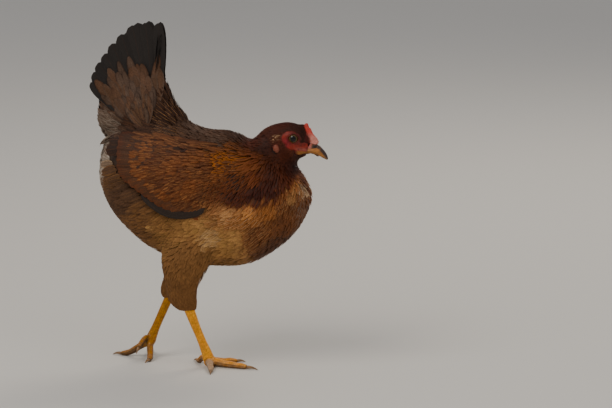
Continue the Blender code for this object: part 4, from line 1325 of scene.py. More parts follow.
def make_skin(outer):
    """Body, head and legs joined into one closed skin, coloured from the parts' own colours."""
    parts = [body_skin(outer), head_skin(), leg_skin("left"), leg_skin("right")]
    places = np.concatenate([coordinates(mesh) for mesh, _, _ in parts])
    hues = np.concatenate([hue for _, hue, _ in parts])
    glosses = np.concatenate([gloss for _, _, gloss in parts])
    known = KDTree(len(places))
    for number, place in enumerate(places):
        known.insert(place, number)
    known.balance()
    skin, *others = [made(mesh.name, mesh) for mesh, _, _ in parts]
    for other in others:
        union = skin.modifiers.new("join_" + other.name, "BOOLEAN")
        union.operation = "UNION"
        union.solver = "MANIFOLD"
        union.object = other
    mesh = evaluated(skin, "skin")
    for other in others:
        bpy.data.objects.remove(other)
    closest = [known.find(place)[1] for place in coordinates(mesh)]
    set_colour(mesh, "hue", np.maximum(hues[closest], DARKEST))
    set_value(mesh, "gloss", glosses[closest])
    mesh.shade_smooth()
    mesh.materials.clear()
    toes = [f"toe_{toe}_{side}" for toe in TOES for side in SIDES]
    piece("skin", mesh, skin_material(), (*FLESH, *toes))


# ---- Eyes, bill and claws ----
EYEBALL = 0.985 * EYE_RADIUS     # the ball is a little smaller than its solid
CORNEA = (5.4 * MM, 0.55 * MM)   # radius and height of the clear bulge in front
IRIS_RIM = 6.6 * MM              # distance from the eye's axis at which its colours end


def make_eyes():
    """Round eyeballs with a bulge in front, and rings of colour about their axes."""
    material = eye_material()
    for side in SIDES:
        centre, axis = EYE[side]
        shape = bmesh.new()
        bmesh.ops.create_uvsphere(shape, u_segments=64, v_segments=48, radius=EYEBALL)
        turn = Vector((0, 0, 1)).rotation_difference(Vector(axis)).to_matrix()
        bmesh.ops.rotate(shape, verts=shape.verts, matrix=turn)
        mesh = bpy.data.meshes.new("eyeball_" + side)
        shape.to_mesh(mesh)
        shape.free()
        points = coordinates(mesh)
        height = points @ axis
        off = np.linalg.norm(points - height[:, None] * axis, axis=1)
        front = height > 0
        bulge = np.where(front, np.clip(1 - (off / CORNEA[0]) ** 2, 0, 1) * CORNEA[1], 0)
        move_to(mesh, points + axis * bulge[:, None] + centre)
        set_value(mesh, "ring", np.where(front, off / IRIS_RIM, 1.0))
        mesh.shade_smooth()
        piece("eyeball_" + side, mesh, material, ("eye_" + side,))


# The horn's colours: sides, a painted highlight over the gape, ridge and cere (and the lower bill's painted
# shade), tip, claws
HORN_OCHRE = np.array([0.330, 0.120, 0.012])
BILL_PAINTED_HIGHLIGHT = np.array([0.460, 0.150, 0.030])
HORN_DARK = np.array([0.035, 0.014, 0.008])
HORN_GREY = np.array([0.170, 0.085, 0.030])
CLAW_BROWN = np.array([0.120, 0.055, 0.020])
CLAW_DUSTY = np.array([0.330, 0.180, 0.070])
# Where the upper bill's dark ridge lies: shares from root to tip and the heights there
BILL_CREST = ((0, 0.25, 0.5, 0.7, 0.85, 1.0), (1.0, 0.98, 0.86, 0.64, 0.42, 0.15))


def upper_bill(points, along, up, out):
    """Colours and swelling of the upper bill: fleshy root, dark cere, nostril, ridge and a painted
    highlight.
    """
    top = step(-0.22, -0.06, up - np.interp(along, *BILL_CREST)) * step(0.55, 0.70, along)
    border = 0.70 + 0.03 * ripple(points, 3 * MM, 8)
    above, ahead = step(0.0, 0.08, up - border), step(0.20, 0.30, along)
    flesh = above * (1 - ahead)
    cere = above * ahead * (1 - step(0.60, 0.70, along))
    hole = 1 - step(0.7, 1.2, np.hypot((along - 0.42) / 0.09, (up - 0.83) / 0.05))
    hole = hole * (out > 0.25)
    # Painted highlight: a pale orange line along the side, just below the flesh and cere
    line = np.exp(-((up - border + 0.02) / 0.05) ** 2) * (1 - step(0.5, 0.7, along))
    hue = blended(HORN_OCHRE, HORN_GREY, 0.8 * step(0.72, 0.95, along))
    hue = blended(hue, RED_SKIN + (PALE_PINK - RED_SKIN) * 0.35, flesh)
    hue = blended(hue, HORN_DARK, 0.95 * cere)
    hue = blended(hue, BILL_PAINTED_HIGHLIGHT, 0.7 * line)
    hue = blended(hue, HORN_DARK, top) * (1 - 0.9 * hole)[:, None]
    return hue, 0.30 * (flesh + cere) - 0.9 * hole - 0.25 * line


def make_bill():
    """Both halves of the bill, from their solids."""
    material = horn_material("hen_bill", 0.38)
    for node, name in (("bill_upper", "upper_bill"), ("bill_lower", "lower_bill")):
        mesh = fused(name, [node], 0.40 * MM, 4)
        points, normals = coordinates(mesh), vertex_normals(mesh)
        lo, hi = corners(node)
        along, _, up = shares_of(node, points).T
        out = np.abs(points[:, 1]) / hi[1]
        points = points + normals * 0.10 * MM
        if node == "bill_upper":
            hue, swell = upper_bill(points, along, up, out)
        else:
            # The lower bill is shorter and narrower than its solid, and closes onto the upper one
            points[:, 0] = lo[0] + (points[:, 0] - lo[0]) * 0.76
            points[:, 1] *= 0.86
            points[:, 2] += (1.1 + 1.5 * up + 2.1 * along) * MM
            # Painted shade: the lower bill is darkened toward the dark horn colour, more toward its tip
            hue = blended(HORN_OCHRE, HORN_DARK, 0.45 + 0.35 * step(0.55, 1.0, along))
            swell = np.zeros(len(points))
        flakes = fine_noise(points * np.array([0.4, 1.0, 1.0]), 900) * 0.06
        move_to(mesh, points + normals * ((flakes + swell) * MM)[:, None])
        set_colour(mesh, "hue", np.maximum(hue, DARKEST))
        mesh.shade_smooth()
        piece(name, mesh, material, (node,))


def make_claws():
    """All the claws, as one piece."""
    joined = bmesh.new()
    names = [f"claw_{toe}_{side}" for toe in TOES for side in SIDES]
    for node in names:
        joined.from_mesh(fused(node + "_fine", [node], 0.30 * MM, 2))
    mesh = bpy.data.meshes.new("claws")
    joined.to_mesh(mesh)
    joined.free()
    points = coordinates(mesh)
    points[:, 2] = np.maximum(points[:, 2], 0.0)
    move_to(mesh, points)
    set_colour(mesh, "hue", blended(CLAW_BROWN, CLAW_DUSTY, 0.5 + 0.5 * fine_noise(points, 300)))
    mesh.shade_smooth()
    piece("claws", mesh, horn_material("hen_claws", 0.45), names)


# ---- Body feathers ----
# Tracts of the body's feathers: slot, shape of vane, stations along a feather, and material
TRACTS = {
    "head": ("feathers_dark", "face", 7, "hackle"),
    "neck": ("feathers_brown", "hackle", 13, "hackle"),
    "breast": ("feathers_brown", "contour", 13, "covert"),
    "belly": ("feathers_tan", "down", 13, "soft"),
    "flank": ("feathers_brown", "down", 13, "soft"),
    "vent": ("feathers_tan", "down", 14, "soft"),
    "back": ("feathers_dark", "contour", 13, "saddle"),
    "saddle": ("feathers_dark", "hackle", 13, "saddle"),
    "thigh": ("feathers_tan", "down", 10, "soft"),
}
OVER_WING = ("neck", "breast", "back", "saddle")      # tracts whose feathers lap over the wings
MOST_TRIANGLES = 180000                               # in one coat piece


def on_wing(points, margin):
    """True where a point lies under a folded wing, further than the margin from its outline."""
    covered = np.ones(len(points), bool)
    search = {}
    for side in SIDES:
        nodes = ["wing_" + side, "primaries_" + side]
        search[side] = tree_of(fused("wing_shape", nodes, 2.0 * MM, 0))[0]
    for dx, dz in ((margin, 0), (-margin, 0), (0, margin), (0, -margin)):
        for number, (x, y, z) in enumerate(points.tolist()):
            if not covered[number]:
                continue
            sign = 1.0 if y > 0 else -1.0
            side = "left" if y > 0 else "right"
            hit = search[side].ray_cast(Vector((x + dx, sign * BESIDE, z + dz)), Vector((0, -sign, 0)))
            covered[number] = hit[0] is not None
    return covered & (np.abs(points[:, 1]) > 15 * MM)


def pieces(name, shape, lines, normals, widths, places, colours, vary, rng, material, slot_name,
           replaced=(), **more):
    """Makes feathers as one coat piece, or as several where there are too many for one."""
    each = 2 * (more.get("columns", 3) + 1) * (lines.shape[1] - 2)
    parts = int(np.ceil(len(lines) * each / MOST_TRIANGLES))
    order = np.argsort(lines[:, 0, 0])
    for number, chosen in enumerate(np.array_split(order, parts)):
        part = {key: value[chosen] if np.ndim(value) and len(value) == len(lines) else value
                for key, value in more.items()}
        label = name if parts == 1 else f"{name}_{number + 1}"
        spread = places[chosen] if "patch" in more else spread_places(places[chosen])
        mesh = feather_mesh(label, shape, lines[chosen], normals[chosen], widths[chosen], spread,
                            colours[chosen], vary[chosen], rng, **part)
        piece(label, mesh, material, replaced if number == 0 else ())
    print("COAT", name, len(lines), "feathers", len(lines) * each, "triangles")


FACE_STOP = 0.30                 # head feathers end where the skin is as bare as this


def stopped_at_face(lines, normals):
    """The same feathers, cut short where they would lie on bare skin, and which of them are left."""
    count, stations = lines.shape[:2]
    met = bare_face(lines.reshape(-1, 3)).reshape(count, stations) >= FACE_STOP
    last = np.where(met.any(axis=1), met.argmax(axis=1), stations - 1)
    place = last[:, None] * np.linspace(0, 1, stations)
    low = np.minimum(place.astype(int), stations - 2)
    share = (place - low)[:, :, None]
    row = np.arange(count)[:, None]
    lines = lines[row, low] * (1 - share) + lines[row, low + 1] * share
    normals = unit(normals[row, low] * (1 - share) + normals[row, low + 1] * share)
    return lines, normals, last >= 2


FACE_EDGE = 0.35                 # feathers are rooted where the skin is less bare than this
SADDLE_TOP = 0.50                # share of the tail base's height that small feathers reach


def coat_roots(outer, rng):
    """Where the body's feathers are rooted, and each root's place on the outer surface's unwrap."""
    vertices, loops = triangles_of(outer)
    tris = coordinates(outer)[vertices]
    map_places = unwrapped(outer)[loops]
    centres = tris.mean(axis=1)
    weight = 1 - bare_face(centres)
    roots, picked, shares = scattered(tris, sizes_at(centres)[1], weight, rng)
    places = (map_places[picked] * shares[:, :, None]).sum(1)
    bill = (roots[:, 0] > corners("bill_upper")[0][0]) & (roots[:, 2] > corners("bill_lower")[0][2])
    bill &= within(roots, "comb", 1 * MM) < 0.01
    lo, hi = corners("tail_base")
    low = roots[:, 2] < lo[2] + SADDLE_TOP * (hi[2] - lo[2])
    keep = (bare_face(roots) < FACE_EDGE) & ~on_wing(roots, 9 * MM) & ~bill & low
    return roots[keep], places[keep]


def make_tract(tract, roots, places, tree, material, rng):
    """The feathers of one tract of the body, each laid along the coat at its root."""
    slot_name, shape, stations, _ = TRACTS[tract]
    count = len(roots)
    length, _, width, looseness = sizes_at(roots)
    length = length * rng.uniform(0.76, 1.24, count)
    _, normal = nearest(tree, roots)
    lie = lie_at(roots, normal)
    side = np.cross(normal, lie)
    swing = rng.normal(0, 0.07, count) + looseness * rng.normal(0, 0.30, count)
    swing += (0.10 + 0.4 * looseness) * ripple(roots, 16 * MM, 21)
    lie = unit(lie + side * swing[:, None])
    loose = looseness * rng.uniform(0.2, 1.3, count)
    lifted = 1.0 * MM if tract == "neck" else 0.0
    lines, normals = marched(tree, roots, lie, length, stations, loose, coat_depth(roots), lifted)
    clear = np.ones(count, bool)
    if tract == "head":
        lines, normals, clear = stopped_at_face(lines, normals)
    tilt = rng.normal(0, 0.10, count)[:, None, None]
    normals = unit(normals + side[:, None] * tilt)
    half = length * width / 2 * rng.uniform(0.80, 1.22, count)
    # A feather's colours are those of the pattern near its tip
    shown = lines[:, int(0.7 * stations)]
    stray = rng.normal(0, 0.25, roots.shape) * np.minimum(length, 9 * MM)[:, None]
    colours = marking(shown + stray)
    vary = 0.5 + rng.normal(0, 0.08, count) + 0.16 * ripple(roots, 14 * MM, 22)
    camber = 1 / (2 * np.clip(length * 1.6, 8 * MM, 60 * MM))
    pieces("coat_" + tract, shape, lines[clear], normals[clear], half[clear], places[clear],
           colours[clear], np.clip(vary, 0, 1)[clear], rng, material, slot_name,
           thickness=0.12 * MM if tract == "head" else 0.20 * MM, camber=camber[clear])


def make_body_feathers(outer, over, materials):
    """The coat of head, neck, body and thighs. Some tracts lap over the folded wings."""
    rng = np.random.default_rng(SEED)
    under_tree, over_tree = tree_of(outer), tree_of(over)
    roots, places = coat_roots(outer, rng)
    tracts = tract_at(roots)
    for tract in TRACTS:
        chosen = tracts == tract
        if chosen.any():
            make_tract(tract, roots[chosen], places[chosen],
                       over_tree if tract in OVER_WING else under_tree,
                       materials[TRACTS[tract][3]], rng)


# ---- Wings ----
OUTWARD = 0.45                   # normals of a wing's outer face point at least this far sideways


class WingFace:
    """The outer face of folded wing nodes, as a smooth surface over their side view."""

    def __init__(self, side, nodes):
        self.sign = SIDES[side]
        found = [node_points(node + side) for node in nodes]
        points = np.concatenate([item[0] for item in found])
        normals = np.concatenate([item[1] for item in found])
        outer = normals[:, 1] * self.sign > OUTWARD
        self.lo, self.hi = points.min(axis=0), points.max(axis=0)
        x, z = self.scaled(points[outer][:, 0], points[outer][:, 2])
        self.weights = np.linalg.lstsq(self.terms(x, z), points[outer][:, 1] * self.sign, rcond=None)[0]
        slots = np.linspace(self.lo[0], self.hi[0], 13)
        near = [np.abs(points[:, 0] - slot) < 0.6 * (slots[1] - slots[0]) for slot in slots]
        self.slots = slots
        self.low_edge = np.array([points[n][:, 2].min() for n in near])
        self.high_edge = np.array([points[n][:, 2].max() for n in near])

    def scaled(self, x, z):
        middle, half = (self.lo + self.hi) / 2, (self.hi - self.lo) / 2
        return ((np.clip(x, self.lo[0], self.hi[0]) - middle[0]) / half[0],
                (np.clip(z, self.lo[2], self.hi[2]) - middle[2]) / half[2])

    @staticmethod
    def terms(x, z):
        return np.stack([np.ones_like(x), x, z, x * x, x * z, z * z, x ** 3, x * x * z, x * z * z], -1)

    def place(self, shares):
        """Side-view places from shares of the box: rear to front, bottom to top."""
        shares = np.asarray(shares, float)
        return (self.lo[0] + (self.hi[0] - self.lo[0]) * shares[..., 0],
                self.lo[2] + (self.hi[2] - self.lo[2]) * shares[..., 1])

    def out(self, x, z):
        """How far the wing's face stands from the midline."""
        return self.terms(*self.scaled(x, z)) @ self.weights

    def surface(self, x, z, lift):
        """Points of the face, moved outwards by lift, and the face's normals there."""
        small = 1.0 * MM
        slope_x = (self.out(x + small, z) - self.out(x - small, z)) / (2 * small)
        slope_z = (self.out(x, z + small) - self.out(x, z - small)) / (2 * small)
        normals = unit(np.stack([-slope_x, np.full_like(x, 1.0), -slope_z], -1))
        points = np.stack([x, self.out(x, z), z], -1) + normals * lift[..., None]
        flip = np.array([1.0, self.sign, 1.0])
        return points * flip, normals * flip

    def edges(self, x):
        return np.interp(x, self.slots, self.low_edge), np.interp(x, self.slots, self.high_edge)


COVERT_ROWS = 23                 # rows of wing coverts, from the rear edge forward
# The wing's outline in shares of its box, rear to front and bottom to top, from above its rear
# edge, down it, and forward along the edge that laps over the primaries
WING_RIM = ((0.42, 1.45), (0.157, 1.00), (0.146, 0.78), (0.149, 0.57), (0.175, 0.44),
            (0.31, 0.275), (0.444, 0.110), (0.594, -0.03), (0.72, -0.05), (0.84, 0.01))
SHOULDER = (0.99, 0.55)
# Marks on the folded wing: place in shares of its box, radius in mm
WING_SPOTS = ((0.31, 0.56, 2.4), (0.345, 0.60, 2.2), (0.58, 0.82, 1.8), (0.64, 0.78, 2.0),
              (0.34, 0.83, 1.5), (0.90, 0.50, 2.0))
# The downward lean of the feathers' tips over the height of the wing, in degrees
WING_LEAN = ((0.0, 0.25, 0.50, 0.75, 1.0), (-31.0, -25.0, -12.0, -2.0, 2.0))
# The outermost primary, from its root back to its tip, in shares of the primaries' box
PRIMARY_PATH = ((1.03, 0.26), (0.93, 0.16), (0.80, 0.11), (0.66, 0.13), (0.56, 0.20), (0.45, 0.34),
                (0.38, 0.46), (0.33, 0.57))


def lean_at(level):
    return np.radians(np.interp(level, *WING_LEAN))


def along_path(path, shares):
    """Places at equal shares of a path's length."""
    path = np.asarray(path, float)
    travelled = np.concatenate([[0], np.cumsum(np.linalg.norm(np.diff(path, axis=0), axis=1))])
    wanted = np.asarray(shares) * travelled[-1]
    return np.stack([np.interp(wanted, travelled, path[:, axis]) for axis in (0, 1)], -1)


def tip_lines(face, tip_x, tip_z, lean, curve, length, stations, lift_root, lift_tip):
    """Centre lines over a wing's face, drawn back from their tips. lean is the upward slope at
    the tip, curve what the slope gained on the way."""
    shares = stations_of(stations)[None]
    slope = lean[:, None] - curve[:, None] * (1 - shares)
    pace = length[:, None] * np.diff(shares, append=1.0)
    dx, dz = np.cos(slope) * pace, np.sin(slope) * pace
    x = tip_x[:, None] + np.cumsum(dx[:, ::-1], axis=1)[:, ::-1]
    z = tip_z[:, None] - np.cumsum(dz[:, ::-1], axis=1)[:, ::-1]
    lift = lift_root[:, None] * (1 - shares) ** 1.2 + lift_tip[:, None] * shares
    return face.surface(x, z, lift)


def large_feathers(name, shape, lines, normals, widths, colours, vary, *rest, **more):
    """A piece of large feathers, each with its own patch of the OFBake map. colours are one row of
    names for all of them, or an array."""
    count = len(lines)
    if isinstance(colours, str):
        colours = np.tile(paints(colours), (count, 1, 1))
    places = np.stack([0.02 + 0.96 * (np.arange(count) + 0.5) / count, np.full(count, 0.5)], 1)
    patch = np.broadcast_to([0.90 / count, 0.96], (count, 2))
    pieces(name, shape, lines, normals, widths, places, colours, vary, *rest, columns=5,
           patch=patch, **more)


def lightness(rng, count, spread=0.12):
    """Each feather's own lightness, 0.5 being the middle one."""
    return np.clip(rng.normal(0.5, spread, count), 0, 1)


def covert_tips(face, rng):
    """Tips of the wing's coverts in shares of its box, in rows that run along its rim, and how far
    toward the rear each row lies."""
    tips, backs = [], []
    for row in range(COVERT_ROWS):
        back = 0.88 - 0.84 * row / (COVERT_ROWS - 1)
        rim = np.array(SHOULDER) + back * (np.array(WING_RIM) - np.array(SHOULDER))
        x, z = face.place(rim)
        long = np.hypot(np.diff(x), np.diff(z)).sum()
        count = max(4, int(long / ((2.7 + 1.8 * back) * MM)))
        shares = (np.arange(count) + 0.5 * (row % 2) + rng.uniform(-0.4, 0.4, count)) / count
        tips.append(along_path(rim, np.clip(shares, 0, 1)))
        backs.append(np.full(count, back))
    tips = np.concatenate(tips)
    return tips + rng.normal(0, 0.014, tips.shape), np.concatenate(backs)


def covert_colours(face, flat, height, rng):
    """Colours of the wing's coverts: brown, warmer in patches, darker near the top, with spots."""
    count = len(flat)
    colours = np.tile(paints("brown liver orange"), (count, 1, 1))
    upper = step(0.62, 1.0, height)
    warmer = np.clip(0.35 + 0.5 * ripple(flat, 20 * MM, 33) + rng.normal(0, 0.25, count), 0, 1)
    for names, share, most in (("rufous chestnut tan", warmer, 0.7), ("brown dark_brown tan", upper, 0.8)):
        colours += (paints(names) - colours) * share[:, None, None] * most
    colours[:, 2] += (colours[:, 0] - colours[:, 2]) * rng.uniform(0.25, 1.0, (count, 1))
    for spot_x, spot_z, radius in WING_SPOTS:
        gap = np.linalg.norm(flat[:, :2] - np.array(face.place((spot_x, spot_z))), axis=1)
        colours[gap < radius * MM] = paints("umber dark_brown dark_brown")
    return colours


def make_coverts(face, side, material):
    """Rows of small feathers over the front and middle of the folded wing."""
    rng = np.random.default_rng(SEED + (1 if side == "left" else 2))
    tips, back = covert_tips(face, rng)
    x, z = face.place(tips)
    low, high = face.edges(x)
    inside = (z > low - 4.5 * MM) & (z < high - 1.5 * MM) & (x < face.hi[0] - 2 * MM)
    x, z, back, tips = x[inside], z[inside], back[inside], tips[inside]
    count = len(x)
    flat = np.stack([x, z, 0 * x], 1)
    length = (12 + 24 * back) * MM * rng.uniform(0.85, 1.15, count)
    lean = lean_at(tips[:, 1]) + rng.normal(0, 0.08, count) + 0.09 * ripple(flat, 15 * MM, 31)
    lines, normals = tip_lines(face, x, z, lean, rng.normal(-0.10, 0.08, count), length, 15,
                               np.full(count, -4.2 * MM), rng.uniform(0.0, 0.8, count) * MM)
    half = (1.5 + 1.7 * back) * MM * rng.uniform(0.85, 1.15, count)
    colours = covert_colours(face, flat, tips[:, 1], rng)
    vary = 0.5 + rng.normal(0, 0.16, count) + 0.14 * ripple(flat, 12 * MM, 42)
    pieces("coverts_" + side, "covert", lines, normals, half, flat[:, :2], colours,
           np.clip(vary, 0, 1), rng, material, "feathers_rufous", camber=14.0)


SECONDARIES, PRIMARIES = 18, 6
WING_TIPS = np.array([(0.050, 0.74), (0.070, 0.88)])    # dark feathers behind the rufous ones


def make_secondaries(face, side, material, rng):
    """Secondaries that close the rear of the wing, and the dark feathers that show past them."""
    count = SECONDARIES
    shares = np.linspace(0.0, 1.0, count)
    tips = along_path(WING_RIM[1:9], shares ** 1.05)
    order = 1 - shares
    x, z = face.place(tips)
    z = np.minimum(z, face.edges(x)[1] - 6 * MM)
    lines, normals = tip_lines(face, x, z, lean_at(tips[:, 1]) + 0.05, np.full(count, -0.14),
                               (60 + 18 * order) * MM, 26, (-2.6 + 1.6 * order) * MM,
                               (-0.2 + 0.4 * order) * MM)
    colours = np.tile(paints("dark_brown liver brown"), (count, 1, 1))
    colours += (paints("brown chestnut rufous") - colours) * (0.8 * shares)[:, None, None]
    large_feathers("secondaries_" + side, "flight", lines, normals, np.full(count, 8.6 * MM),
                   colours, lightness(rng, count, 0.14), rng, material, "feathers_rufous",
                   camber=6.0, thickness=0.35 * MM)
    count = len(WING_TIPS)
    x, z = face.place(WING_TIPS)
    lines, normals = tip_lines(face, x, z, np.radians([-12.0, -2.0]), np.full(count, -0.05),
                               np.full(count, 70 * MM), 26, np.full(count, -3.0 * MM),
                               np.array([-2.4, -1.9]) * MM)
    large_feathers("wing_tip_" + side, "flight", lines, normals, np.full(count, 8.5 * MM),
                   "umber dark_brown brown", np.full(count, 0.5), rng, material, "feathers_dark",
                   camber=6.0, thickness=0.35 * MM)


def make_primaries(side, material, rng):
    """The primaries, stacked under the secondaries along the outermost one's path."""
    face = WingFace(side, ("primaries_",))
    path_x, path_z = face.place(along_path(PRIMARY_PATH, stations_of(28)))
    rank = np.arange(PRIMARIES)[:, None]
    shift = rank * 1.4 * MM
    lines, normals = face.surface(path_x[None] + 0.25 * shift, path_z[None] + shift,
                                  (-0.6 - 0.50 * rank) * MM + 0 * path_x[None])
    large_feathers("primary_feathers_" + side, "flight", lines, normals,
                   np.full(PRIMARIES, 3.2 * MM), "blue_black blue_black smoke",
                   lightness(rng, PRIMARIES), rng, material, "feathers_black",
                   replaced=("primaries_" + side,), camber=16.0, thickness=0.5 * MM)


def make_flight(face, side, materials):
    """The large feathers of one wing."""
    rng = np.random.default_rng(SEED + (3 if side == "left" else 4))
    make_secondaries(face, side, materials["flight"], rng)
    make_primaries(side, materials["glossy"], rng)


# ---- Tail ----
TAIL_ROOT = ("tail_base", 0.583, 0.0, 0.169)
TAIL_FEATHERS = 9                # on each side
# Tiers of tail coverts, longest first: tip reach as a share of the tail feathers' length, then
# half width and lift in mm
TAIL_TIERS = ((1.00, 6.2, 0.2), (0.88, 6.2, 0.8), (0.74, 5.6, 1.4), (0.60, 4.8, 1.9),
              (0.47, 3.8, 2.4), (0.36, 3.2, 2.8))
# How far the longest coverts reach, from the fan's foremost side to its rearmost
COVERT_REACH = ((0.0, 0.3, 0.55, 0.8, 1.0), (0.60, 0.72, 0.76, 0.90, 0.94))
# Feathers along the tail's front edge: degrees behind it, reach as a share of the fan's, and
# distance from the midline in mm
RIDGE = ((5.0, 0.97, 0.0), (3.5, 0.90, 3.0), (3.5, 0.90, -3.0), (2.2, 0.80, 0.0))
# Colours that a tail covert may have
TAIL_COLOURS = ("bark dark_brown bark", "bark smoke grey_brown", "grey_brown smoke bark",
                "smoke umber dark_brown")


def fan_terms(lean, far):
    """Terms of the curve that gives how far a tail half stands out, from how far round its fan a
    place lies and how far from the root."""
    return np.stack([np.ones_like(lean), lean, lean ** 2, far, far * lean], -1)


def tail_fan(side):
    """The tail's root, angles in degrees across one of its halves about the root, the reach at
    each, and the weights of its curve outwards."""
    root = at(*TAIL_ROOT)
    points, _ = node_points("tail_" + side)
    offset = points - root
    turn = np.degrees(np.arctan2(offset[:, 2], offset[:, 0]))
    far = np.hypot(offset[:, 0], offset[:, 2])
    angles = np.linspace(turn.min(), turn.max(), 30)
    reach = np.array([far[np.abs(turn - angle) < 5.0].max() for angle in angles])
    lean = (turn - turn.min()) / (turn.max() - turn.min())
    weights = np.linalg.lstsq(fan_terms(lean, far), np.abs(points[:, 1]), rcond=None)[0]
    return root, angles, reach, weights


def fan_places(root, theta, radius, y):
    """Places in a fan about the tail's root, at their distance y from the midline."""
    return np.stack([root[0] + radius * np.cos(theta), y, root[2] + radius * np.sin(theta)], -1)


def fan_lines(root, theta, radius, y, sign):
    """Lines in a fan about the tail's root, with their outward normals."""
    lines = fan_places(root, theta, radius, sign * y)
    forward = unit(np.gradient(lines, axis=1))
    normals = unit(np.cross(forward, np.gradient(lines, axis=0)))
    return lines, normals * np.sign(normals[:, :, 1:2] * sign)


def side_out(search, x, z, sign):
    """How far out the surface stands at side-view places along lines, gaps filled and smoothed."""
    found = np.full(x.shape, np.nan)
    for index in np.ndindex(x.shape):
        hit = search.ray_cast(Vector((x[index], sign * BESIDE, z[index])), Vector((0, -sign, 0)))
        if hit[0] is not None:
            found[index] = abs(hit[0][1])
    for line in found:
        known = np.flatnonzero(~np.isnan(line))
        line[:] = np.interp(np.arange(len(line)), known, line[known]) if len(known) else 1.0 * MM
    padded = np.pad(found, ((0, 0), (4, 4)), mode="edge")
    return np.stack([padded[:, k:k + found.shape[1]] for k in range(9)]).mean(axis=0)


def make_tail_feathers(fan, side, shares, material, rng):
    """The long feathers of one half of the tail, spread in a fan about its root."""
    root, angles, reach, weights = fan
    first, last = angles[0], angles[-1]
    count = TAIL_FEATHERS
    order = np.linspace(0.0, 1.0, count)[:, None]
    middle = np.interp(order, (0, 1), (first + 3.5, last - 3.0))
    theta = np.radians(middle) - math.radians(7.0) * (shares - 0.6) * (2 * order - 1)
    radius = (np.interp(middle, angles, reach) - 0.8 * MM) * (0.10 + 0.90 * shares)
    leaning = np.clip((np.degrees(theta) - first) / (last - first), 0, 1)
    y = np.maximum(fan_terms(leaning, radius) @ weights + (0.3 - 1.4 * order) * MM, 0.5 * MM)
    lines, normals = fan_lines(root, theta, radius, y, SIDES[side])
    half = np.interp(order[:, 0], (0.0, 0.2, 0.8, 1.0), (8.0, 12.5, 12.0, 8.0)) * MM
    large_feathers("tail_feathers_" + side, "tail", lines, normals, half, "black black umber",
                   lightness(rng, count), rng, material, "feathers_black",
                   replaced=("tail_" + side,), camber=5.0, thickness=0.35 * MM)


def make_tail_coverts(fan, side, shares, material, rng):
    """Tiers of coverts that lie over the tail's feathers and the rump."""
    root, angles, reach, _ = fan
    first, last = angles[0], angles[-1]
    rear = fused("rear", ["tail_base", "trunk", "tail_" + side], BODY_VOXEL, 4)
    cover = BVHTree.FromPolygons(*polygons_of(rear))
    for tier, (tip, half, lift) in enumerate(TAIL_TIERS):
        count = 8 + tier
        order = (np.arange(count)[:, None] + 0.5 * (tier % 2)) / (count - 0.5)
        middle = np.interp(order, (0, 1), (first + 1.0, last - 1.0))
        middle = np.sort(middle + rng.normal(0, 1.5, (count, 1)), axis=0)
        theta = np.radians(middle) - math.radians(12.0) * (shares - 0.7) * (2 * order - 0.8)
        theta = theta + np.radians(rng.normal(0, 2.5, (count, 1))) * shares ** 2
        far = np.interp(middle, angles, reach) * tip * rng.uniform(0.90, 1.07, (count, 1))
        radius = far * np.interp(order, *COVERT_REACH) * (0.12 + 0.88 * shares)
        seen = fan_places(root, theta, radius, 0 * radius)
        y = side_out(cover, seen[..., 0], seen[..., 2], SIDES[side])
        y = y + (lift * shares ** 0.6 - 3.0 * (1 - shares)
                 + rng.uniform(-0.3, 0.3, (count, 1))) * MM
        lines, normals = fan_lines(root, theta, radius, y, SIDES[side])
        chosen = rng.integers(0, len(TAIL_COLOURS), count)
        colours = np.array([paints(TAIL_COLOURS[pick]) for pick in chosen])
        if tier > 3:
            colours[:, 2] = PALETTE["fawn"]
        large_feathers(f"tail_coverts_{tier + 1}_{side}", "covert", lines, normals,
                       half * MM * rng.uniform(0.85, 1.15, count), colours, lightness(rng, count),
                       rng, material, "feathers_dark", camber=10.0, thickness=0.30 * MM)


def make_tail(materials):
    """The long feathers and the coverts of both halves of the tail."""
    rng = np.random.default_rng(SEED + 5)
    shares = stations_of(30)[None]
    for side in SIDES:
        fan = tail_fan(side)
        make_tail_feathers(fan, side, shares, materials["glossy"], rng)
        make_tail_coverts(fan, side, shares, materials["flight"], rng)


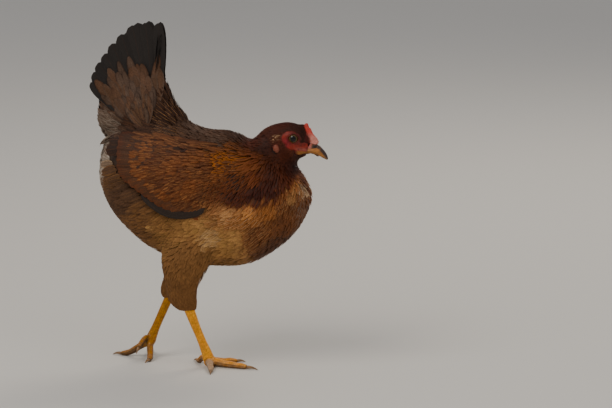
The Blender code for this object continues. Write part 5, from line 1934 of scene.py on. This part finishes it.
def make_tail_ridge(materials):
    """Feathers that roof the space between the two halves of the tail, along its front."""
    rng = np.random.default_rng(SEED + 7)
    shares = stations_of(26)[None]
    root, angles, reach, _ = tail_fan("right")
    turns, reaches, offsets = np.array(RIDGE).T[:, :, None]
    turn = angles[0] + turns
    theta = np.radians(turn) + 0 * shares
    radius = np.interp(turn, angles, reach) * reaches * (0.15 + 0.85 * shares)
    lines = fan_places(root, theta, radius, offsets * MM * (0.3 + 0.7 * shares))
    normals = np.stack([np.sin(theta), 0 * theta, -np.cos(theta)], -1)
    large_feathers("tail_ridge", "tail", lines, normals, np.full(len(RIDGE), 7.5 * MM),
                   "black black umber", lightness(rng, len(RIDGE)), rng, materials["glossy"],
                   "feathers_black", camber=16.0, thickness=0.35 * MM)


# Feathers' materials: roughness, barbs to a vane, half width of the shaft's streak, where the edge
# colour begins and is full (both in half widths of the vane), strength of the stipple, specular
FEATHER_LOOKS = {
    "soft": (0.70, 40, 0.06, (0.45, 1.05), 0.10, 0.12),
    "hackle": (0.55, 44, 0.12, (0.30, 0.62), 0.05, 0.15),
    "covert": (0.60, 40, 0.15, (0.50, 1.00), 0.12, 0.15),
    "saddle": (0.60, 60, 0.08, (0.50, 0.90), 0.20, 0.12),
    "flight": (0.55, 90, 0.04, (0.50, 1.00), 0.14, 0.15),
    "glossy": (0.40, 100, 0.035, (0.70, 1.10), 0.06, 0.25),
}


def main():
    make_studio()
    outer = body_shape()
    over = fused("over", FEATHERED + ("wing_left", "wing_right"), BODY_VOXEL, 3)
    relaxed(over, np.ones(len(over.vertices)), 8)
    make_skin(outer)
    make_eyes()
    make_bill()
    make_claws()
    materials = {name: feather_material("feathers_" + name, *numbers)
                 for name, numbers in FEATHER_LOOKS.items()}
    make_body_feathers(outer, over, materials)
    for side in SIDES:
        face = WingFace(side, ("wing_",))
        make_coverts(face, side, materials["covert"])
        make_flight(face, side, materials)
    make_tail(materials)
    make_tail_ridge(materials)


main()
bpy.context.view_layer.update()
